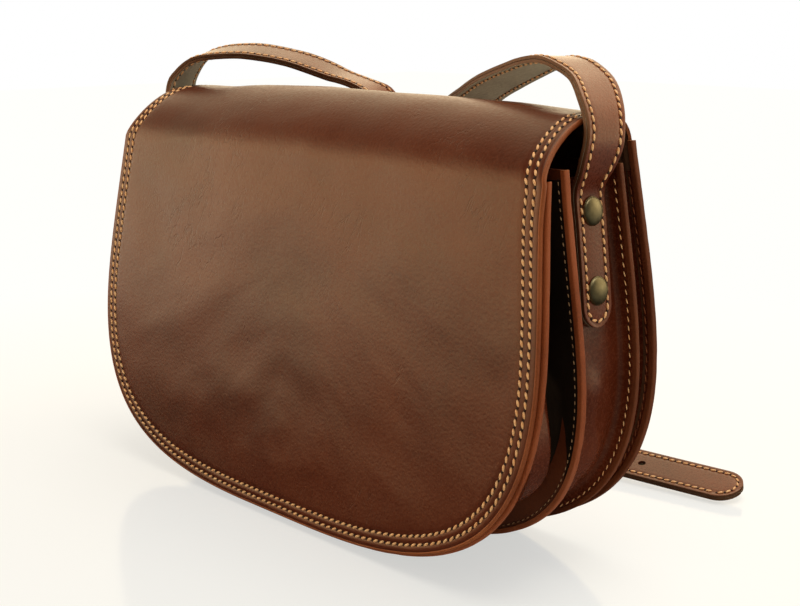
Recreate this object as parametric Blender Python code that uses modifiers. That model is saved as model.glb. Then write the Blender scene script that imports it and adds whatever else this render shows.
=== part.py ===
# Leather flap bag with three pockets, a riveted shoulder strap and a flap that lifts at the ridge.
# Metres, +Z up, front towards -Y. The origin is on the floor, under the middle of the front divider.
import math

import bmesh
import bpy
import numpy as np
from mathutils import Matrix, Vector

for old in list(bpy.data.objects):
    bpy.data.objects.remove(old, do_unlink=True)

bag = bpy.data.collections.new("flap_bag")
bpy.context.scene.collection.children.link(bag)
cutters = bpy.data.collections.new("cutters")
cutters.hide_render = True
bpy.context.scene.collection.children.link(cutters)

# Outline of the walls: from the flat at the bottom, round the corner, up to the top.
halfWidth = 0.1455
widestHeight = 0.0853
flatHalf = 0.020
bottomReach = 0.0737
lowerReach = 0.0712
upperReach = 0.0288
topHalfWidth = 0.1362
topReach = 0.0301
ridgeHeight = 0.1886
outlineRise = 0.0013
outlineTop = ridgeHeight + outlineRise

# Each wall's place in depth, how far it leans over the outline's height, and its bow.
wallMidShare = 0.4
frontY = 0.0036
frontLean = 0.0214
frontBow = 0.0057
frontDividerY = 0.0261
frontDividerLean = -0.0158
frontDividerBow = 0.0131
rearDividerY = 0.0590
rearDividerLean = -0.0044
rearDividerBow = -0.0136
backY = 0.0710
backLean = -0.0028
backBow = -0.0253

# Leather, and the clearance that touching pieces keep.
gap = 0.00025
panelThick = 0.0010
backThick = 0.0018
dividerThick = 0.0014
gussetThick = 0.0007
bindingThick = 0.0005
dividerBindingThick = 0.0011
backBindingThick = 0.0008
bindingDepth = 0.0050
bindingRound = 0.0004
pocketDrop = 0.0261
pocketTop = ridgeHeight - pocketDrop
gussetInset = 0.0083
gussetCorner = 0.0025
cornerShare = 0.3

# Top of the bag: the back wall turns forward to the ridge, where the flap starts.
turnDrop = 0.0166
turnHeight = ridgeHeight - turnDrop
ridgeY = 0.0450
ridgeDroop = 0.0036
ridgeHalfWidth = 0.1262
turnRise = 0.0110
turnReach = 0.0110
flapThick = 0.0012
liningThick = 0.0006
flapInset = 0.0016
shoulderDrop = 0.0251
shoulderHeight = ridgeHeight - shoulderDrop
shoulderRise = 0.0110
crestReach = 0.0130
crestFall = 0.0022

# Rivets that hold the strap's tabs.
rivetInset = 0.0140
rivetSpacing = 0.0302
rivetCapRadius = 0.0055
rivetCapRise = 0.0018
rivetRim = 0.0004
rivetPostRadius = 0.0015
rivetBackRadius = 0.0045
rivetBackThick = 0.0008
rivetClearance = 0.0002
rivetOverrun = 0.0006

# Strap: two layers sewn together, with a narrower riveted tab at each end.
strapWidth = 0.0210
tabWidth = 0.0168
strapLayer = 0.0013
tabDrop = 0.0156
tabTaperTo = ridgeHeight - tabDrop
tabTaperLength = 0.0170
tabTaperFrom = tabTaperTo - tabTaperLength
tabMargin = 0.0020
tabLength = rivetInset + rivetSpacing + rivetCapRadius + tabMargin
tabTip = tabTaperFrom - tabLength
rivetLow = tabTip + rivetInset
tabFlare = 0.0040
strapY = 0.0418
archRise = 0.0159
strapLiftY = 0.0700
stripSpacing = 0.0080
closeSpacing = 0.0045
tailReach = 0.1290
tailY = 0.1665

# Buckle, keeper and holes of the strap.
buckleX = -0.1000
buckleY = 0.1290
buckleLength = 0.0180
buckleWire = 0.0012
buckleSide = 0.0015
buckleCorner = 0.0030
chapeThick = 0.0010
chapeLength = 0.0200
chapeSlot = 0.0044
prongRadius = 0.0010
prongEye = 0.0024
prongEyeWidth = 0.0030
prongOverhang = 0.0016
prongSlotLength = 0.0118
prongSlotWidth = 0.0032
keeperSetback = 0.0110
keeperLength = 0.0090
keeperThick = 0.0009
keeperSide = 0.0035
keeperTravel = 0.0100
strapHoleRadius = 0.0018
strapHolePitch = 0.0250
strapHoles = 4
tailHoleX = 0.0640

# Magnetic snap.
snapHeight = 0.0550
snapRadius = 0.0080
snapSeat = 0.0002
snapProud = 0.0003
cutOverrun = 0.0020

wireSides = 2
turnedSteps = 16


def material(name, color, roughness, metallic):
    made = bpy.data.materials.new(name)
    made.use_nodes = True
    shader = made.node_tree.nodes["Principled BSDF"]
    shader.inputs["Base Color"].default_value = (*color, 1)
    shader.inputs["Roughness"].default_value = roughness
    shader.inputs["Metallic"].default_value = metallic
    return made


flapLeather = material("flap_leather", (0.115, 0.036, 0.018), 0.32, 0)
bodyLeather = material("body_leather", (0.095, 0.028, 0.014), 0.34, 0)
gussetLeather = material("gusset_leather", (0.045, 0.013, 0.008), 0.30, 0)
bindingLeather = material("binding_leather", (0.20, 0.058, 0.022), 0.45, 0)
strapLeather = material("strap_leather", (0.12, 0.036, 0.018), 0.32, 0)
liningLeather = material("lining_leather", (0.13, 0.10, 0.07), 0.70, 0)
antiqueBrass = material("antique_brass", (0.30, 0.25, 0.15), 0.35, 1)
magnetSteel = material("magnet_steel", (0.45, 0.44, 0.42), 0.30, 1)


def meshObject(name, mesh, finish, collection=bag):
    made = bpy.data.objects.new(name, mesh)
    collection.objects.link(made)
    if finish is not None:
        mesh.materials.append(finish)
    return made


def sheet(name, points, thick, finish):
    """points: rows of places, rows x columns x 3. The sheet is made thick to both sides of them."""
    rows, columns = points.shape[:2]
    work = bmesh.new()
    bmesh.ops.create_grid(work, x_segments=columns - 1, y_segments=rows - 1, size=1)
    work.verts.ensure_lookup_table()
    for vert in work.verts:
        column = round((vert.co.x + 1) / 2 * (columns - 1))
        row = round((vert.co.y + 1) / 2 * (rows - 1))
        vert.co = points[row, column]
    mesh = bpy.data.meshes.new(name)
    work.to_mesh(mesh)
    work.free()
    made = meshObject(name, mesh, finish)
    solid = made.modifiers.new("thickness", "SOLIDIFY")
    solid.thickness = thick
    solid.offset = 0
    solid.use_even_offset = True
    return made


def turned(name, profile, finish, matrix, collection=bag):
    """profile: (radius, height) pairs from the top at the axis down the outside to the bottom."""
    mesh = bpy.data.meshes.new(name)
    places = [(radius, 0, height) for radius, height in profile]
    mesh.from_pydata(places, [(i, i + 1) for i in range(len(places) - 1)], [])
    made = meshObject(name, mesh, finish, collection)
    screw = made.modifiers.new("turn", "SCREW")
    screw.steps = turnedSteps
    screw.render_steps = turnedSteps
    screw.use_merge_vertices = True
    screw.merge_threshold = 0.00001
    made.matrix_world = matrix
    return made


def block(name, size, matrix, collection=cutters):
    mesh = bpy.data.meshes.new(name)
    work = bmesh.new()
    bmesh.ops.create_cube(work, size=1)
    bmesh.ops.scale(work, vec=size, verts=work.verts)
    work.to_mesh(mesh)
    work.free()
    made = meshObject(name, mesh, None, collection)
    made.matrix_world = matrix
    return made


def rod(name, radius, length, matrix):
    """A round cutter along its own Z, centred."""
    return turned(name, [(0, length / 2), (radius, length / 2), (radius, -length / 2), (0, -length / 2)],
                  None, matrix, cutters)


def cut(target, cutter):
    cutter.display_type = "WIRE"
    cutter.hide_render = True
    boolean = target.modifiers.new("cut", "BOOLEAN")
    boolean.object = cutter
    boolean.operation = "DIFFERENCE"
    boolean.solver = "EXACT"


def wire(name, places, radius, finish, cyclic=False):
    curve = bpy.data.curves.new(name, "CURVE")
    curve.dimensions = "3D"
    curve.bevel_depth = radius
    curve.bevel_resolution = wireSides
    curve.use_fill_caps = True
    line = curve.splines.new("POLY")
    line.points.add(len(places) - 1)
    for point, place in zip(line.points, places):
        point.co = (*place, 1)
    line.use_cyclic_u = cyclic
    curve.materials.append(finish)
    made = bpy.data.objects.new(name, curve)
    bag.objects.link(made)
    return made


def bezier(a, b, c, d, t):
    a, b, c, d = (np.array(p, float) for p in (a, b, c, d))
    return (1 - t) ** 3 * a + 3 * (1 - t) ** 2 * t * b + 3 * (1 - t) * t * t * c + t ** 3 * d


# Stations along half of the outline, evenly spaced, with the direction to the inside at each.
stationCount = 17
fine = np.linspace(0, 1, 80)[:, None]
lowerCurve = bezier((flatHalf, 0), (flatHalf + bottomReach, 0), (halfWidth, widestHeight - lowerReach),
                    (halfWidth, widestHeight), fine)
upperCurve = bezier((halfWidth, widestHeight), (halfWidth, widestHeight + upperReach),
                    (topHalfWidth, outlineTop - topReach), (topHalfWidth, outlineTop), fine)
outline = np.vstack([lowerCurve, upperCurve[1:]])


def stationsTo(top):
    """Places (x, z) and inward directions from the bottom flat up to a height."""
    part = outline[outline[:, 1] < top]
    part = np.vstack([part, [np.interp(top, outline[:, 1], outline[:, 0]), top]])
    along = np.concatenate([[0], np.cumsum(np.linalg.norm(np.diff(part, axis=0), axis=1))])
    even = np.linspace(0, along[-1], stationCount)
    places = np.stack([np.interp(even, along, part[:, 0]), np.interp(even, along, part[:, 1])], 1)
    run = np.gradient(places, axis=0)
    run[0] = (1, 0)
    run /= np.linalg.norm(run, axis=1)[:, None]
    return places, np.stack([-run[:, 1], run[:, 0]], 1)


def halfWidthAt(z):
    return float(np.interp(z, outline[:, 1], outline[:, 0]))


def wallAt(mid, lean, bow):
    def depth(z):
        share = z / outlineTop - wallMidShare
        return mid + lean * share + bow * share * share

    return depth


frontWall = wallAt(frontY, frontLean, frontBow)
frontDividerWall = wallAt(frontDividerY, frontDividerLean, frontDividerBow)
rearDividerWall = wallAt(rearDividerY, rearDividerLean, rearDividerBow)
backWall = wallAt(backY, backLean, backBow)

pocketPlaces, pocketInward = stationsTo(pocketTop)


def wallRows(places, inward, inset, wall, columns):
    """Rows across a wall, from its bottom edge up, each as wide as the outline there."""
    rows = []
    for place, direction in zip(places, inward):
        x, z = place + direction * inset
        rows.append([(x * share, wall(z), z) for share in np.linspace(-1, 1, columns)])
    return np.array(rows)


def aroundOutline(places, inward, profile):
    """profile(z) gives (inset, depth) pairs. The sheet runs from the left top round to the right top."""
    rows = []
    both = [(-1, i) for i in reversed(range(len(places)))] + [(1, i) for i in range(len(places))]
    for side, i in both:
        row = []
        for k in range(len(profile(0))):
            inset = profile(places[i][1])[k][0]
            x, z = places[i] + inward[i] * inset
            row.append((side * x, profile(z)[k][1], z))
        rows.append(row)
    return np.array(rows)


# Walls.
wallColumns = 7
edgeInset = bindingThick + gap
dividerEdgeInset = dividerBindingThick + gap
backEdgeInset = backBindingThick + gap

frontPanel = sheet("front_panel", wallRows(pocketPlaces, pocketInward, edgeInset, frontWall, wallColumns),
                   panelThick, bodyLeather)
sheet("front_divider",
      wallRows(pocketPlaces, pocketInward, dividerEdgeInset, frontDividerWall, wallColumns),
      dividerThick, bodyLeather)
sheet("rear_divider",
      wallRows(pocketPlaces, pocketInward, dividerEdgeInset, rearDividerWall, wallColumns),
      dividerThick, bodyLeather)


# Back panel: the wall, then the turn over the top to the ridge.
ridgeMidHeight = ridgeHeight - backThick / 2
crossShares = np.linspace(-1, 1, 9)


def droop(crossShare, ridgeShare):
    return ridgeDroop * crossShare * crossShare * ridgeShare


backPlaces = np.vstack([pocketPlaces + pocketInward * backEdgeInset,
                        [(halfWidthAt(turnHeight) - backEdgeInset, turnHeight)]])
backRows = [[(x * share, backWall(z), z) for share in crossShares] for x, z in backPlaces]
turnWidth = backPlaces[-1][0]
for t in np.linspace(0, 1, 8)[1:]:
    y, z = bezier((backWall(turnHeight), turnHeight), (backWall(turnHeight), turnHeight + turnRise),
                  (ridgeY + turnReach, ridgeMidHeight), (ridgeY + gap / 2, ridgeMidHeight), t)
    x = turnWidth + (ridgeHalfWidth - turnWidth) * t
    backRows.append([(x * share, y, z - droop(share, t)) for share in crossShares])
sheet("back_panel", np.array(backRows), backThick, flapLeather)


# Gussets: a flange beside each wall, a rounded turn, and the floor between them.
def gussetProfile(frontWallAt, frontThick, rearWallAt, rearThick, startInset, endInset):
    def profile(z):
        front = frontWallAt(z) + frontThick / 2 + gap + gussetThick / 2
        rear = rearWallAt(z) - rearThick / 2 - gap - gussetThick / 2
        corner = min(gussetCorner, cornerShare * (rear - front))
        return [(startInset, front), (gussetInset - corner, front), (gussetInset, front + corner),
                (gussetInset, (front + rear) / 2), (gussetInset, rear - corner),
                (gussetInset - corner, rear), (endInset, rear)]

    return profile


sheet("front_gusset",
      aroundOutline(pocketPlaces, pocketInward,
                    gussetProfile(frontWall, panelThick, frontDividerWall, dividerThick,
                                  edgeInset, dividerEdgeInset)),
      gussetThick, gussetLeather)
middleProfile = gussetProfile(frontDividerWall, dividerThick, rearDividerWall, dividerThick,
                              dividerEdgeInset, dividerEdgeInset)
middleGusset = sheet("middle_gusset", aroundOutline(pocketPlaces, pocketInward, middleProfile), gussetThick,
                     gussetLeather)
sheet("rear_gusset",
      aroundOutline(pocketPlaces, pocketInward,
                    gussetProfile(rearDividerWall, dividerThick, backWall, backThick,
                                  dividerEdgeInset, backEdgeInset)),
      gussetThick, gussetLeather)


# Bindings: leather folded over each wall's edge and the gusset flanges beside it.
def bindingProfile(wallDepth, before, after, thick):
    """before and after: how far the bound layers reach in front of and behind the wall's middle."""
    def profile(z):
        front = wallDepth(z) - before - gap - thick / 2
        rear = wallDepth(z) + after + gap + thick / 2
        return [(bindingDepth, front), (thick / 2 + bindingRound, front), (thick / 2, front + bindingRound),
                (thick / 2, rear - bindingRound), (thick / 2 + bindingRound, rear), (bindingDepth, rear)]

    return profile


flange = gap + gussetThick
sheet("front_binding",
      aroundOutline(pocketPlaces, pocketInward,
                    bindingProfile(frontWall, panelThick / 2, panelThick / 2 + flange,
                                   bindingThick)),
      bindingThick, bindingLeather)
for name, wall in (("front_divider_binding", frontDividerWall), ("rear_divider_binding", rearDividerWall)):
    sheet(name, aroundOutline(pocketPlaces, pocketInward,
                              bindingProfile(wall, dividerThick / 2 + flange, dividerThick / 2 + flange,
                                             dividerBindingThick)),
          dividerBindingThick, bindingLeather)
sheet("back_binding", aroundOutline(pocketPlaces, pocketInward,
                                    bindingProfile(backWall, backThick / 2 + flange, backThick / 2,
                                                   backBindingThick)),
      backBindingThick, bindingLeather)


# Flap: from the ridge over the shoulder and down the front, an outer leather and a lining.
flapStandoff = panelThick / 2 + gap + bindingThick + gap + liningThick + gap + flapThick
shoulderPlaces, shoulderInward = stationsTo(shoulderHeight)


def flapRows(depth):
    """Rows of the flap at a depth behind its outer face, from the bottom edge up to the ridge."""
    face = []
    for place, direction in zip(shoulderPlaces, shoulderInward):
        x, z = place + direction * flapInset
        face.append((x, frontWall(z) - flapStandoff, z, 0))
    shoulderWidth, y0, z0 = face[-1][:3]
    slope = (frontWall(z0) - frontWall(z0 - gap)) / gap
    steep = math.hypot(1, slope)
    top = (ridgeY - gap / 2, ridgeHeight)
    for t in np.linspace(0, 1, 9)[1:]:
        y, z = bezier((y0, z0), (y0 + slope * shoulderRise / steep, z0 + shoulderRise / steep),
                      (top[0] - crestReach, top[1] - crestFall), top, t)
        face.append((shoulderWidth + (ridgeHalfWidth - shoulderWidth) * t, y, z, t))
    face = np.array(face)
    run = np.gradient(face[:, 1:3], axis=0)
    run[-1] = (1, 0)
    run /= np.linalg.norm(run, axis=1)[:, None]
    behind = face[:, 1:3] + np.stack([run[:, 1], -run[:, 0]], 1) * depth
    return np.array([[(x * share, y, z - droop(share, t)) for share in crossShares]
                     for (x, _, _, t), (y, z) in zip(face, behind)])


sheet("flap_outer", flapRows(flapThick / 2), flapThick, flapLeather)
flapLining = sheet("flap_lining", flapRows(flapThick + gap + liningThick / 2), liningThick, liningLeather)


# Straps. A run is a centre line of stations, each (x, y, z) in shares of the crest's height.
strapStack = 2 * strapLayer + gap
strapHalf = strapStack / 2


def smooth(points):
    """A fine line through the points, rounded as Catmull-Rom curves are, and the length along it."""
    points = np.array(points, float)
    ends = np.vstack([2 * points[0] - points[1], points, 2 * points[-1] - points[-2]])
    line = []
    for i in range(len(points) - 1):
        p0, p1, p2, p3 = ends[i:i + 4]
        t = np.linspace(0, 1, 24, endpoint=False)[:, None]
        line.append(0.5 * (2 * p1 + (p2 - p0) * t + (2 * p0 - 5 * p1 + 4 * p2 - p3) * t * t
                           + (3 * p1 - p0 - 3 * p2 + p3) * t ** 3))
    line = np.vstack([*line, points[-1:]])
    line[:, 2] = np.maximum(line[:, 2], strapHalf)
    return np.concatenate([[0], np.cumsum(np.linalg.norm(np.diff(line, axis=0), axis=1))]), line


def marksBetween(start, end, spacing):
    return np.linspace(start, end, max(3, 1 + round((end - start) / spacing)))


def endMarks(length, radius):
    """Distances that follow a rounded end."""
    return length - radius * np.array([0.96, 0.8, 0.55, 0.3, 0.1, 0.02])


def ribbon(name, dense, marks, widths, side, depth, finish):
    """A flat strip along a line. side is 1 for the right strap and -1 for the left. depth is from the middle
    of the two layers towards the outer face."""
    along, line = dense
    places = np.stack([np.interp(marks, along, line[:, k]) for k in range(3)], 1)
    ahead = np.stack([np.interp(marks + strapLayer, along, line[:, k]) for k in range(3)], 1)
    behind = np.stack([np.interp(marks - strapLayer, along, line[:, k]) for k in range(3)], 1)
    run = ahead - behind
    run /= np.linalg.norm(run, axis=1)[:, None]
    facing = np.stack([side * run[:, 2], np.zeros(len(run)), -side * run[:, 0]], 1)
    facing /= np.linalg.norm(facing, axis=1)[:, None]
    across = np.cross(run, facing)
    middle = places + facing * depth
    half = np.asarray(widths)[:, None] / 2
    rows = np.stack([middle - across * half, middle, middle + across * half], 1)
    return sheet(name, rows, strapLayer, finish)


gussetFloor = pocketPlaces + pocketInward * gussetInset


def onGusset(z):
    """The middle of the strap's two layers where the tab lies on the middle gusset."""
    floor = float(np.interp(z, gussetFloor[:, 1], gussetFloor[:, 0]))
    return floor + gussetThick / 2 + 2 * gap + strapHalf


strapCrest = ridgeHeight + archRise
heelX = buckleX + buckleLength / 2
frontBarX = buckleX - buckleLength / 2
keeperX = heelX + chapeLength + keeperSetback
keeperEnd = keeperX + keeperLength / 2 + keeperTravel
raisedMid = chapeThick + gap + strapHalf
chapeRadius = strapHalf + gap + chapeThick / 2
overChape = raisedMid + chapeRadius + chapeThick / 2 + gap + strapHalf
overStrap = raisedMid + strapStack + gap
frontBarHeight = strapStack + gap + buckleWire
shortEnd = heelX + prongEye + 2 * gap

# Hand-set stations of the arches over the top: shares of the half width, the back's place and the crest.
rightArchShares = [(0.943, 0.597, 0.865), (0.911, 0.670, 0.910), (0.824, 0.813, 0.965),
                   (0.704, 0.861, 0.994), (0.537, 0.964, 0.968), (0.324, 1.120, 0.918),
                   (0.126, 1.294, 0.834)]
leftArchShares = [(-0.945, 0.631, 0.855), (-0.930, 0.713, 0.906), (-0.863, 0.812, 0.956),
                  (-0.750, 0.974, 0.976), (-0.630, 1.168, 0.967), (-0.515, 1.370, 0.933),
                  (-0.385, 1.541, 0.881)]
# Those behind the bag: shares of the buckle's place, and of the crest or the strap's thickness.
rightFallShares = [(-0.0695, 0.783, 0.6846), (-0.050, 0.845, 0.4645), (-0.120, 0.899, 0.220),
                   (-0.090, 0.9256, 0.078)]
leftFallShares = [(0.570, 0.907, 0.7726), (0.660, 0.9605, 0.562), (1.000, 0.992, 0.303),
                  (1.340, 1.008, 0.176), (1.480, 1.008, 0.093)]
shortFloorShares = [(0.059, 0.942, 1.04), (0.220, 0.961, 0.538), (0.460, 0.994, 0.90)]
longFloorShares = [(1.380, 1.003, 1.228), (1.220, 1.0016, 0.502)]
tailShares = [(0.054, 0.093, 2.44), (0.203, 0.453, 2.62), (0.433, 0.613, 1.94), (0.645, 0.747, 1.24),
              (0.834, 0.880, 0.575)]
tabShares = np.linspace(0, 1, 5)


def stationsFrom(rows, width, depth, height):
    return [(x * width, y * depth, z * height) for x, y, z in rows]


tabHeights = tabTip + (tabTaperFrom - tabTip) * tabShares
rightPoints = [(onGusset(z), strapY, z) for z in tabHeights]
rightPoints.append((onGusset(tabTaperTo) + tabFlare, strapY, (tabTaperFrom + tabTaperTo) / 2))
leftPoints = [(-x, y, z) for x, y, z in rightPoints]
rightPoints += stationsFrom(rightArchShares, halfWidth, backY, strapCrest)
rightPoints += stationsFrom(rightFallShares, buckleX, buckleY, strapCrest)
rightPoints += stationsFrom(shortFloorShares, buckleX, buckleY, strapStack)
rightPoints += [(keeperX, buckleY, raisedMid), (heelX + chapeLength, buckleY, raisedMid),
                (shortEnd, buckleY, raisedMid)]
leftPoints += stationsFrom(leftArchShares, halfWidth, backY, strapCrest)
leftPoints += stationsFrom(leftFallShares, buckleX, buckleY, strapCrest)
leftPoints += stationsFrom(longFloorShares, buckleX, buckleY, strapStack)
leftPoints += [(frontBarX - buckleWire, buckleY, strapHalf), (frontBarX + buckleWire, buckleY, strapHalf),
               (heelX - chapeRadius, buckleY, overChape), (heelX + chapeRadius, buckleY, overChape),
               (heelX + chapeLength, buckleY, overChape),
               (heelX + chapeLength + strapHalf + 2 * strapLayer, buckleY, overStrap),
               (keeperX + keeperLength / 2, buckleY, overStrap), (keeperEnd, buckleY, overStrap)]
leftPoints += [(keeperEnd + (tailReach - keeperEnd) * x, buckleY + (tailY - buckleY) * y, z * strapStack)
               for x, y, z in tailShares]
leftPoints += [(tailReach, tailY, strapHalf)]

rightDense = smooth(rightPoints)
leftDense = smooth(leftPoints)


def splitAt(dense):
    """The length at which a strap run passes behind the lift line."""
    along, line = dense
    return float(along[np.argmax(line[:, 1] > strapLiftY)])


def tabWidths(dense, marks):
    """The strap's width from the rounded tip of the tab up."""
    along, line = dense
    heights = np.interp(marks, along, line[:, 2])
    taper = np.clip((heights - tabTaperFrom) / (tabTaperTo - tabTaperFrom), 0, 1)
    taper[marks > tabTaperTo - tabTip + stripSpacing] = 1
    taper = taper * taper * (3 - 2 * taper)
    widths = tabWidth + (strapWidth - tabWidth) * taper
    radius = tabWidth / 2
    tip = marks < radius
    widths[tip] = 2 * np.sqrt(radius ** 2 - (radius - marks[tip]) ** 2)
    return widths


def tailWidths(length, marks):
    radius = strapWidth / 2
    widths = np.full(len(marks), strapWidth)
    left = length - marks
    tip = left < radius
    widths[tip] = 2 * np.sqrt(radius ** 2 - (radius - left[tip]) ** 2)
    return widths


tabMarks = tabWidth / 2 * np.array([0.02, 0.1, 0.3, 0.55, 0.8])
layers = (("", (strapLayer + gap) / 2, strapLeather), ("_lining", -(strapLayer + gap) / 2, liningLeather))
strapEnds = []
for word, side, dense in (("right", 1, rightDense), ("left", -1, leftDense)):
    split = splitAt(dense)
    marks = np.concatenate([tabMarks, marksBetween(tabWidth / 2, split - gap / 2, stripSpacing)])
    for suffix, depth, finish in layers:
        end = ribbon(f"{word}_strap_end{suffix}", dense, marks, tabWidths(dense, marks), side, depth, finish)
        strapEnds.append(end)

shortMarks = marksBetween(splitAt(rightDense) + gap / 2, rightDense[0][-1], stripSpacing)
shortWidths = np.full(len(shortMarks), strapWidth)
for suffix, depth, finish in layers:
    ribbon(f"short_strap{suffix}", rightDense, shortMarks, shortWidths, 1, depth, finish)

longLength = leftDense[0][-1]
longStart = splitAt(leftDense) + gap / 2
longMarks = np.concatenate([marksBetween(longStart, longLength - strapWidth / 2, closeSpacing),
                            endMarks(longLength, strapWidth / 2)])
longWidths = tailWidths(longLength, longMarks)
longStrap = [ribbon(f"long_strap{suffix}", leftDense, longMarks, longWidths, -1, depth, finish)
             for suffix, depth, finish in layers]
tail = leftDense[1][np.argmax(leftDense[1][:, 0] > keeperX):]
for i in range(strapHoles):
    x = tailHoleX - i * strapHolePitch
    place = Vector((x, np.interp(x, tail[:, 0], tail[:, 1]), np.interp(x, tail[:, 0], tail[:, 2])))
    hole = rod(f"strap_hole_{i}", strapHoleRadius, 2 * strapStack + cutOverrun, Matrix.Translation(place))
    for layer in longStrap:
        cut(layer, hole)
slot = block("prong_slot", (prongSlotLength, prongSlotWidth, 4 * overChape),
             Matrix.Translation((buckleX, buckleY, frontBarHeight)))
for layer in longStrap:
    cut(layer, slot)


# Rivets: a domed cap and post outside, a disc on the post inside the gusset.
def rivetFrame(side, height):
    """Its Z points out of the bag, and it sits on the outer face of the tab."""
    slope = (onGusset(height + gap) - onGusset(height - gap)) / (2 * gap)
    outward = Vector((side, 0, -slope)).normalized()
    forward = Vector((0, 1, 0))
    frame = Matrix((forward, outward.cross(forward), outward)).transposed().to_4x4()
    middle = Vector((side * onGusset(height), strapY, height))
    return Matrix.Translation(middle + outward * (strapHalf + gap)) @ frame


domeShares = np.linspace(0, 1, 5)
domeTurns = [share * math.pi / 2 for share in domeShares]
capDome = [(rivetCapRadius * math.sin(turn), rivetRim + rivetCapRise * math.cos(turn)) for turn in domeTurns]
backTop = -(gap + strapStack + 2 * gap + gussetThick + 2 * gap)
postEnd = backTop - rivetBackThick - rivetOverrun
capProfile = capDome + [(rivetCapRadius, 0), (rivetPostRadius, 0), (rivetPostRadius, postEnd), (0, postEnd)]
backProfile = [(0, backTop), (rivetBackRadius, backTop), (rivetBackRadius, backTop - rivetBackThick),
               (0, backTop - rivetBackThick)]
for word, side in (("right", 1), ("left", -1)):
    for level, height in (("lower", rivetLow), ("upper", rivetLow + rivetSpacing)):
        frame = rivetFrame(side, height)
        turned(f"{word}_{level}_rivet", capProfile, antiqueBrass, frame)
        back = turned(f"{word}_{level}_rivet_back", backProfile, antiqueBrass, frame)
        hole = rod(f"{word}_{level}_rivet_hole", rivetPostRadius + rivetClearance,
                   -2 * postEnd + 2 * cutOverrun, frame)
        cut(back, hole)
        cut(middleGusset, hole)
        for end in strapEnds:
            if end.name.startswith(word):
                cut(end, hole)


# Buckle: a wire frame, a leather turn that holds its heel bar, and the prong.
frameHalf = strapWidth / 2 + buckleSide + buckleWire
cornerShares = np.linspace(0, 1, 4)
corners = ((heelX, 1, 1), (frontBarX, -1, 1), (frontBarX, -1, -1), (heelX, 1, -1))
framePlaces = []
for number, (x, alongSign, sideSign) in enumerate(corners):
    for share in cornerShares if number % 2 == 0 else cornerShares[::-1]:
        turn = share * math.pi / 2
        px = x - alongSign * buckleCorner * (1 - math.cos(turn))
        py = buckleY + sideSign * (frameHalf - buckleCorner * (1 - math.sin(turn)))
        rise = (heelX - px) / buckleLength
        framePlaces.append((px, py, raisedMid + (frontBarHeight - raisedMid) * rise))
wire("buckle_frame", framePlaces, buckleWire, antiqueBrass, cyclic=True)

wrap = [(heelX + chapeLength * share, chapeRadius) for share in (1, 0.5, 0.15)]
wrap += [(heelX - chapeRadius * math.sin(turn), chapeRadius * math.cos(turn))
         for turn in np.linspace(0, math.pi, 9)]
wrap += [(heelX + chapeLength * share, -chapeRadius) for share in (0.15, 0.5, 1)]
chapeRows = np.array([[(x, buckleY + strapWidth / 2 * share, raisedMid + z) for share in (-1, 0, 1)]
                      for x, z in wrap])
chape = sheet("buckle_chape", chapeRows, chapeThick, strapLeather)
cut(chape, block("chape_slot", (2 * (prongEye + chapeThick), chapeSlot, 4 * overChape),
                 Matrix.Translation((heelX, buckleY, raisedMid))))

upright = Matrix.Translation((heelX, buckleY, raisedMid)) @ Matrix.Rotation(math.pi / 2, 4, "X")
prongTip = (frontBarX - prongOverhang, buckleY, frontBarHeight + buckleWire + 2 * gap + prongRadius)
prongStart = (heelX - (prongEye + buckleWire + gap) / 2, buckleY, raisedMid)
eyeProfile = [(0, prongEyeWidth / 2), (prongEye, prongEyeWidth / 2), (prongEye, -prongEyeWidth / 2),
              (0, -prongEyeWidth / 2)]
prong = turned("buckle_prong", eyeProfile, antiqueBrass, upright)
prongRod = wire("prong_rod", [prongStart, prongTip], prongRadius, antiqueBrass)
graph = bpy.context.evaluated_depsgraph_get()
rodMesh = bpy.data.meshes.new_from_object(prongRod.evaluated_get(graph))
bpy.data.objects.remove(prongRod, do_unlink=True)
rodWork = bmesh.new()
rodWork.from_mesh(rodMesh)
bmesh.ops.remove_doubles(rodWork, verts=rodWork.verts, dist=gap / 20)
bmesh.ops.recalc_face_normals(rodWork, faces=rodWork.faces)
rodWork.to_mesh(rodMesh)
rodWork.free()
prongArm = meshObject("prong_arm", rodMesh, None, cutters)
prongArm.display_type = "WIRE"
prongArm.hide_render = True
joined = prong.modifiers.new("arm", "BOOLEAN")
joined.object = prongArm
joined.operation = "UNION"
joined.solver = "EXACT"
cut(prong, rod("prong_bore", buckleWire + gap, 4 * prongEyeWidth, upright))

# Keeper: a loop round both runs, butted together underneath.
keeperHalf = strapWidth / 2 + keeperSide
keeperLow = raisedMid - strapHalf - gap - keeperThick / 2
keeperHigh = overStrap + strapHalf + 2 * gap + keeperThick / 2
keeperRound = 2 * keeperThick
loop = [(-gap, keeperLow), (-keeperHalf + keeperRound, keeperLow), (-keeperHalf, keeperLow + keeperRound),
        (-keeperHalf, keeperHigh - keeperRound), (-keeperHalf + keeperRound, keeperHigh),
        (keeperHalf - keeperRound, keeperHigh), (keeperHalf, keeperHigh - keeperRound),
        (keeperHalf, keeperLow + keeperRound), (keeperHalf - keeperRound, keeperLow), (gap, keeperLow)]
keeperRows = np.array([[(keeperX + keeperLength / 2 * share, buckleY + y, z) for share in (-1, 1)]
                       for y, z in loop])
sheet("strap_keeper", keeperRows, keeperThick, strapLeather)


# Magnetic snap: a disc let into the lining and one let into the front panel.
snapSlope = (frontWall(snapHeight + gap) - frontWall(snapHeight - gap)) / (2 * gap)
snapOut = Vector((0, -1, snapSlope)).normalized()
snapAcross = Vector((1, 0, 0))


def snapFrame(y):
    turn = Matrix((snapAcross, snapOut.cross(snapAcross), snapOut)).transposed().to_4x4()
    return Matrix.Translation((0, y, snapHeight)) @ turn


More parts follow.
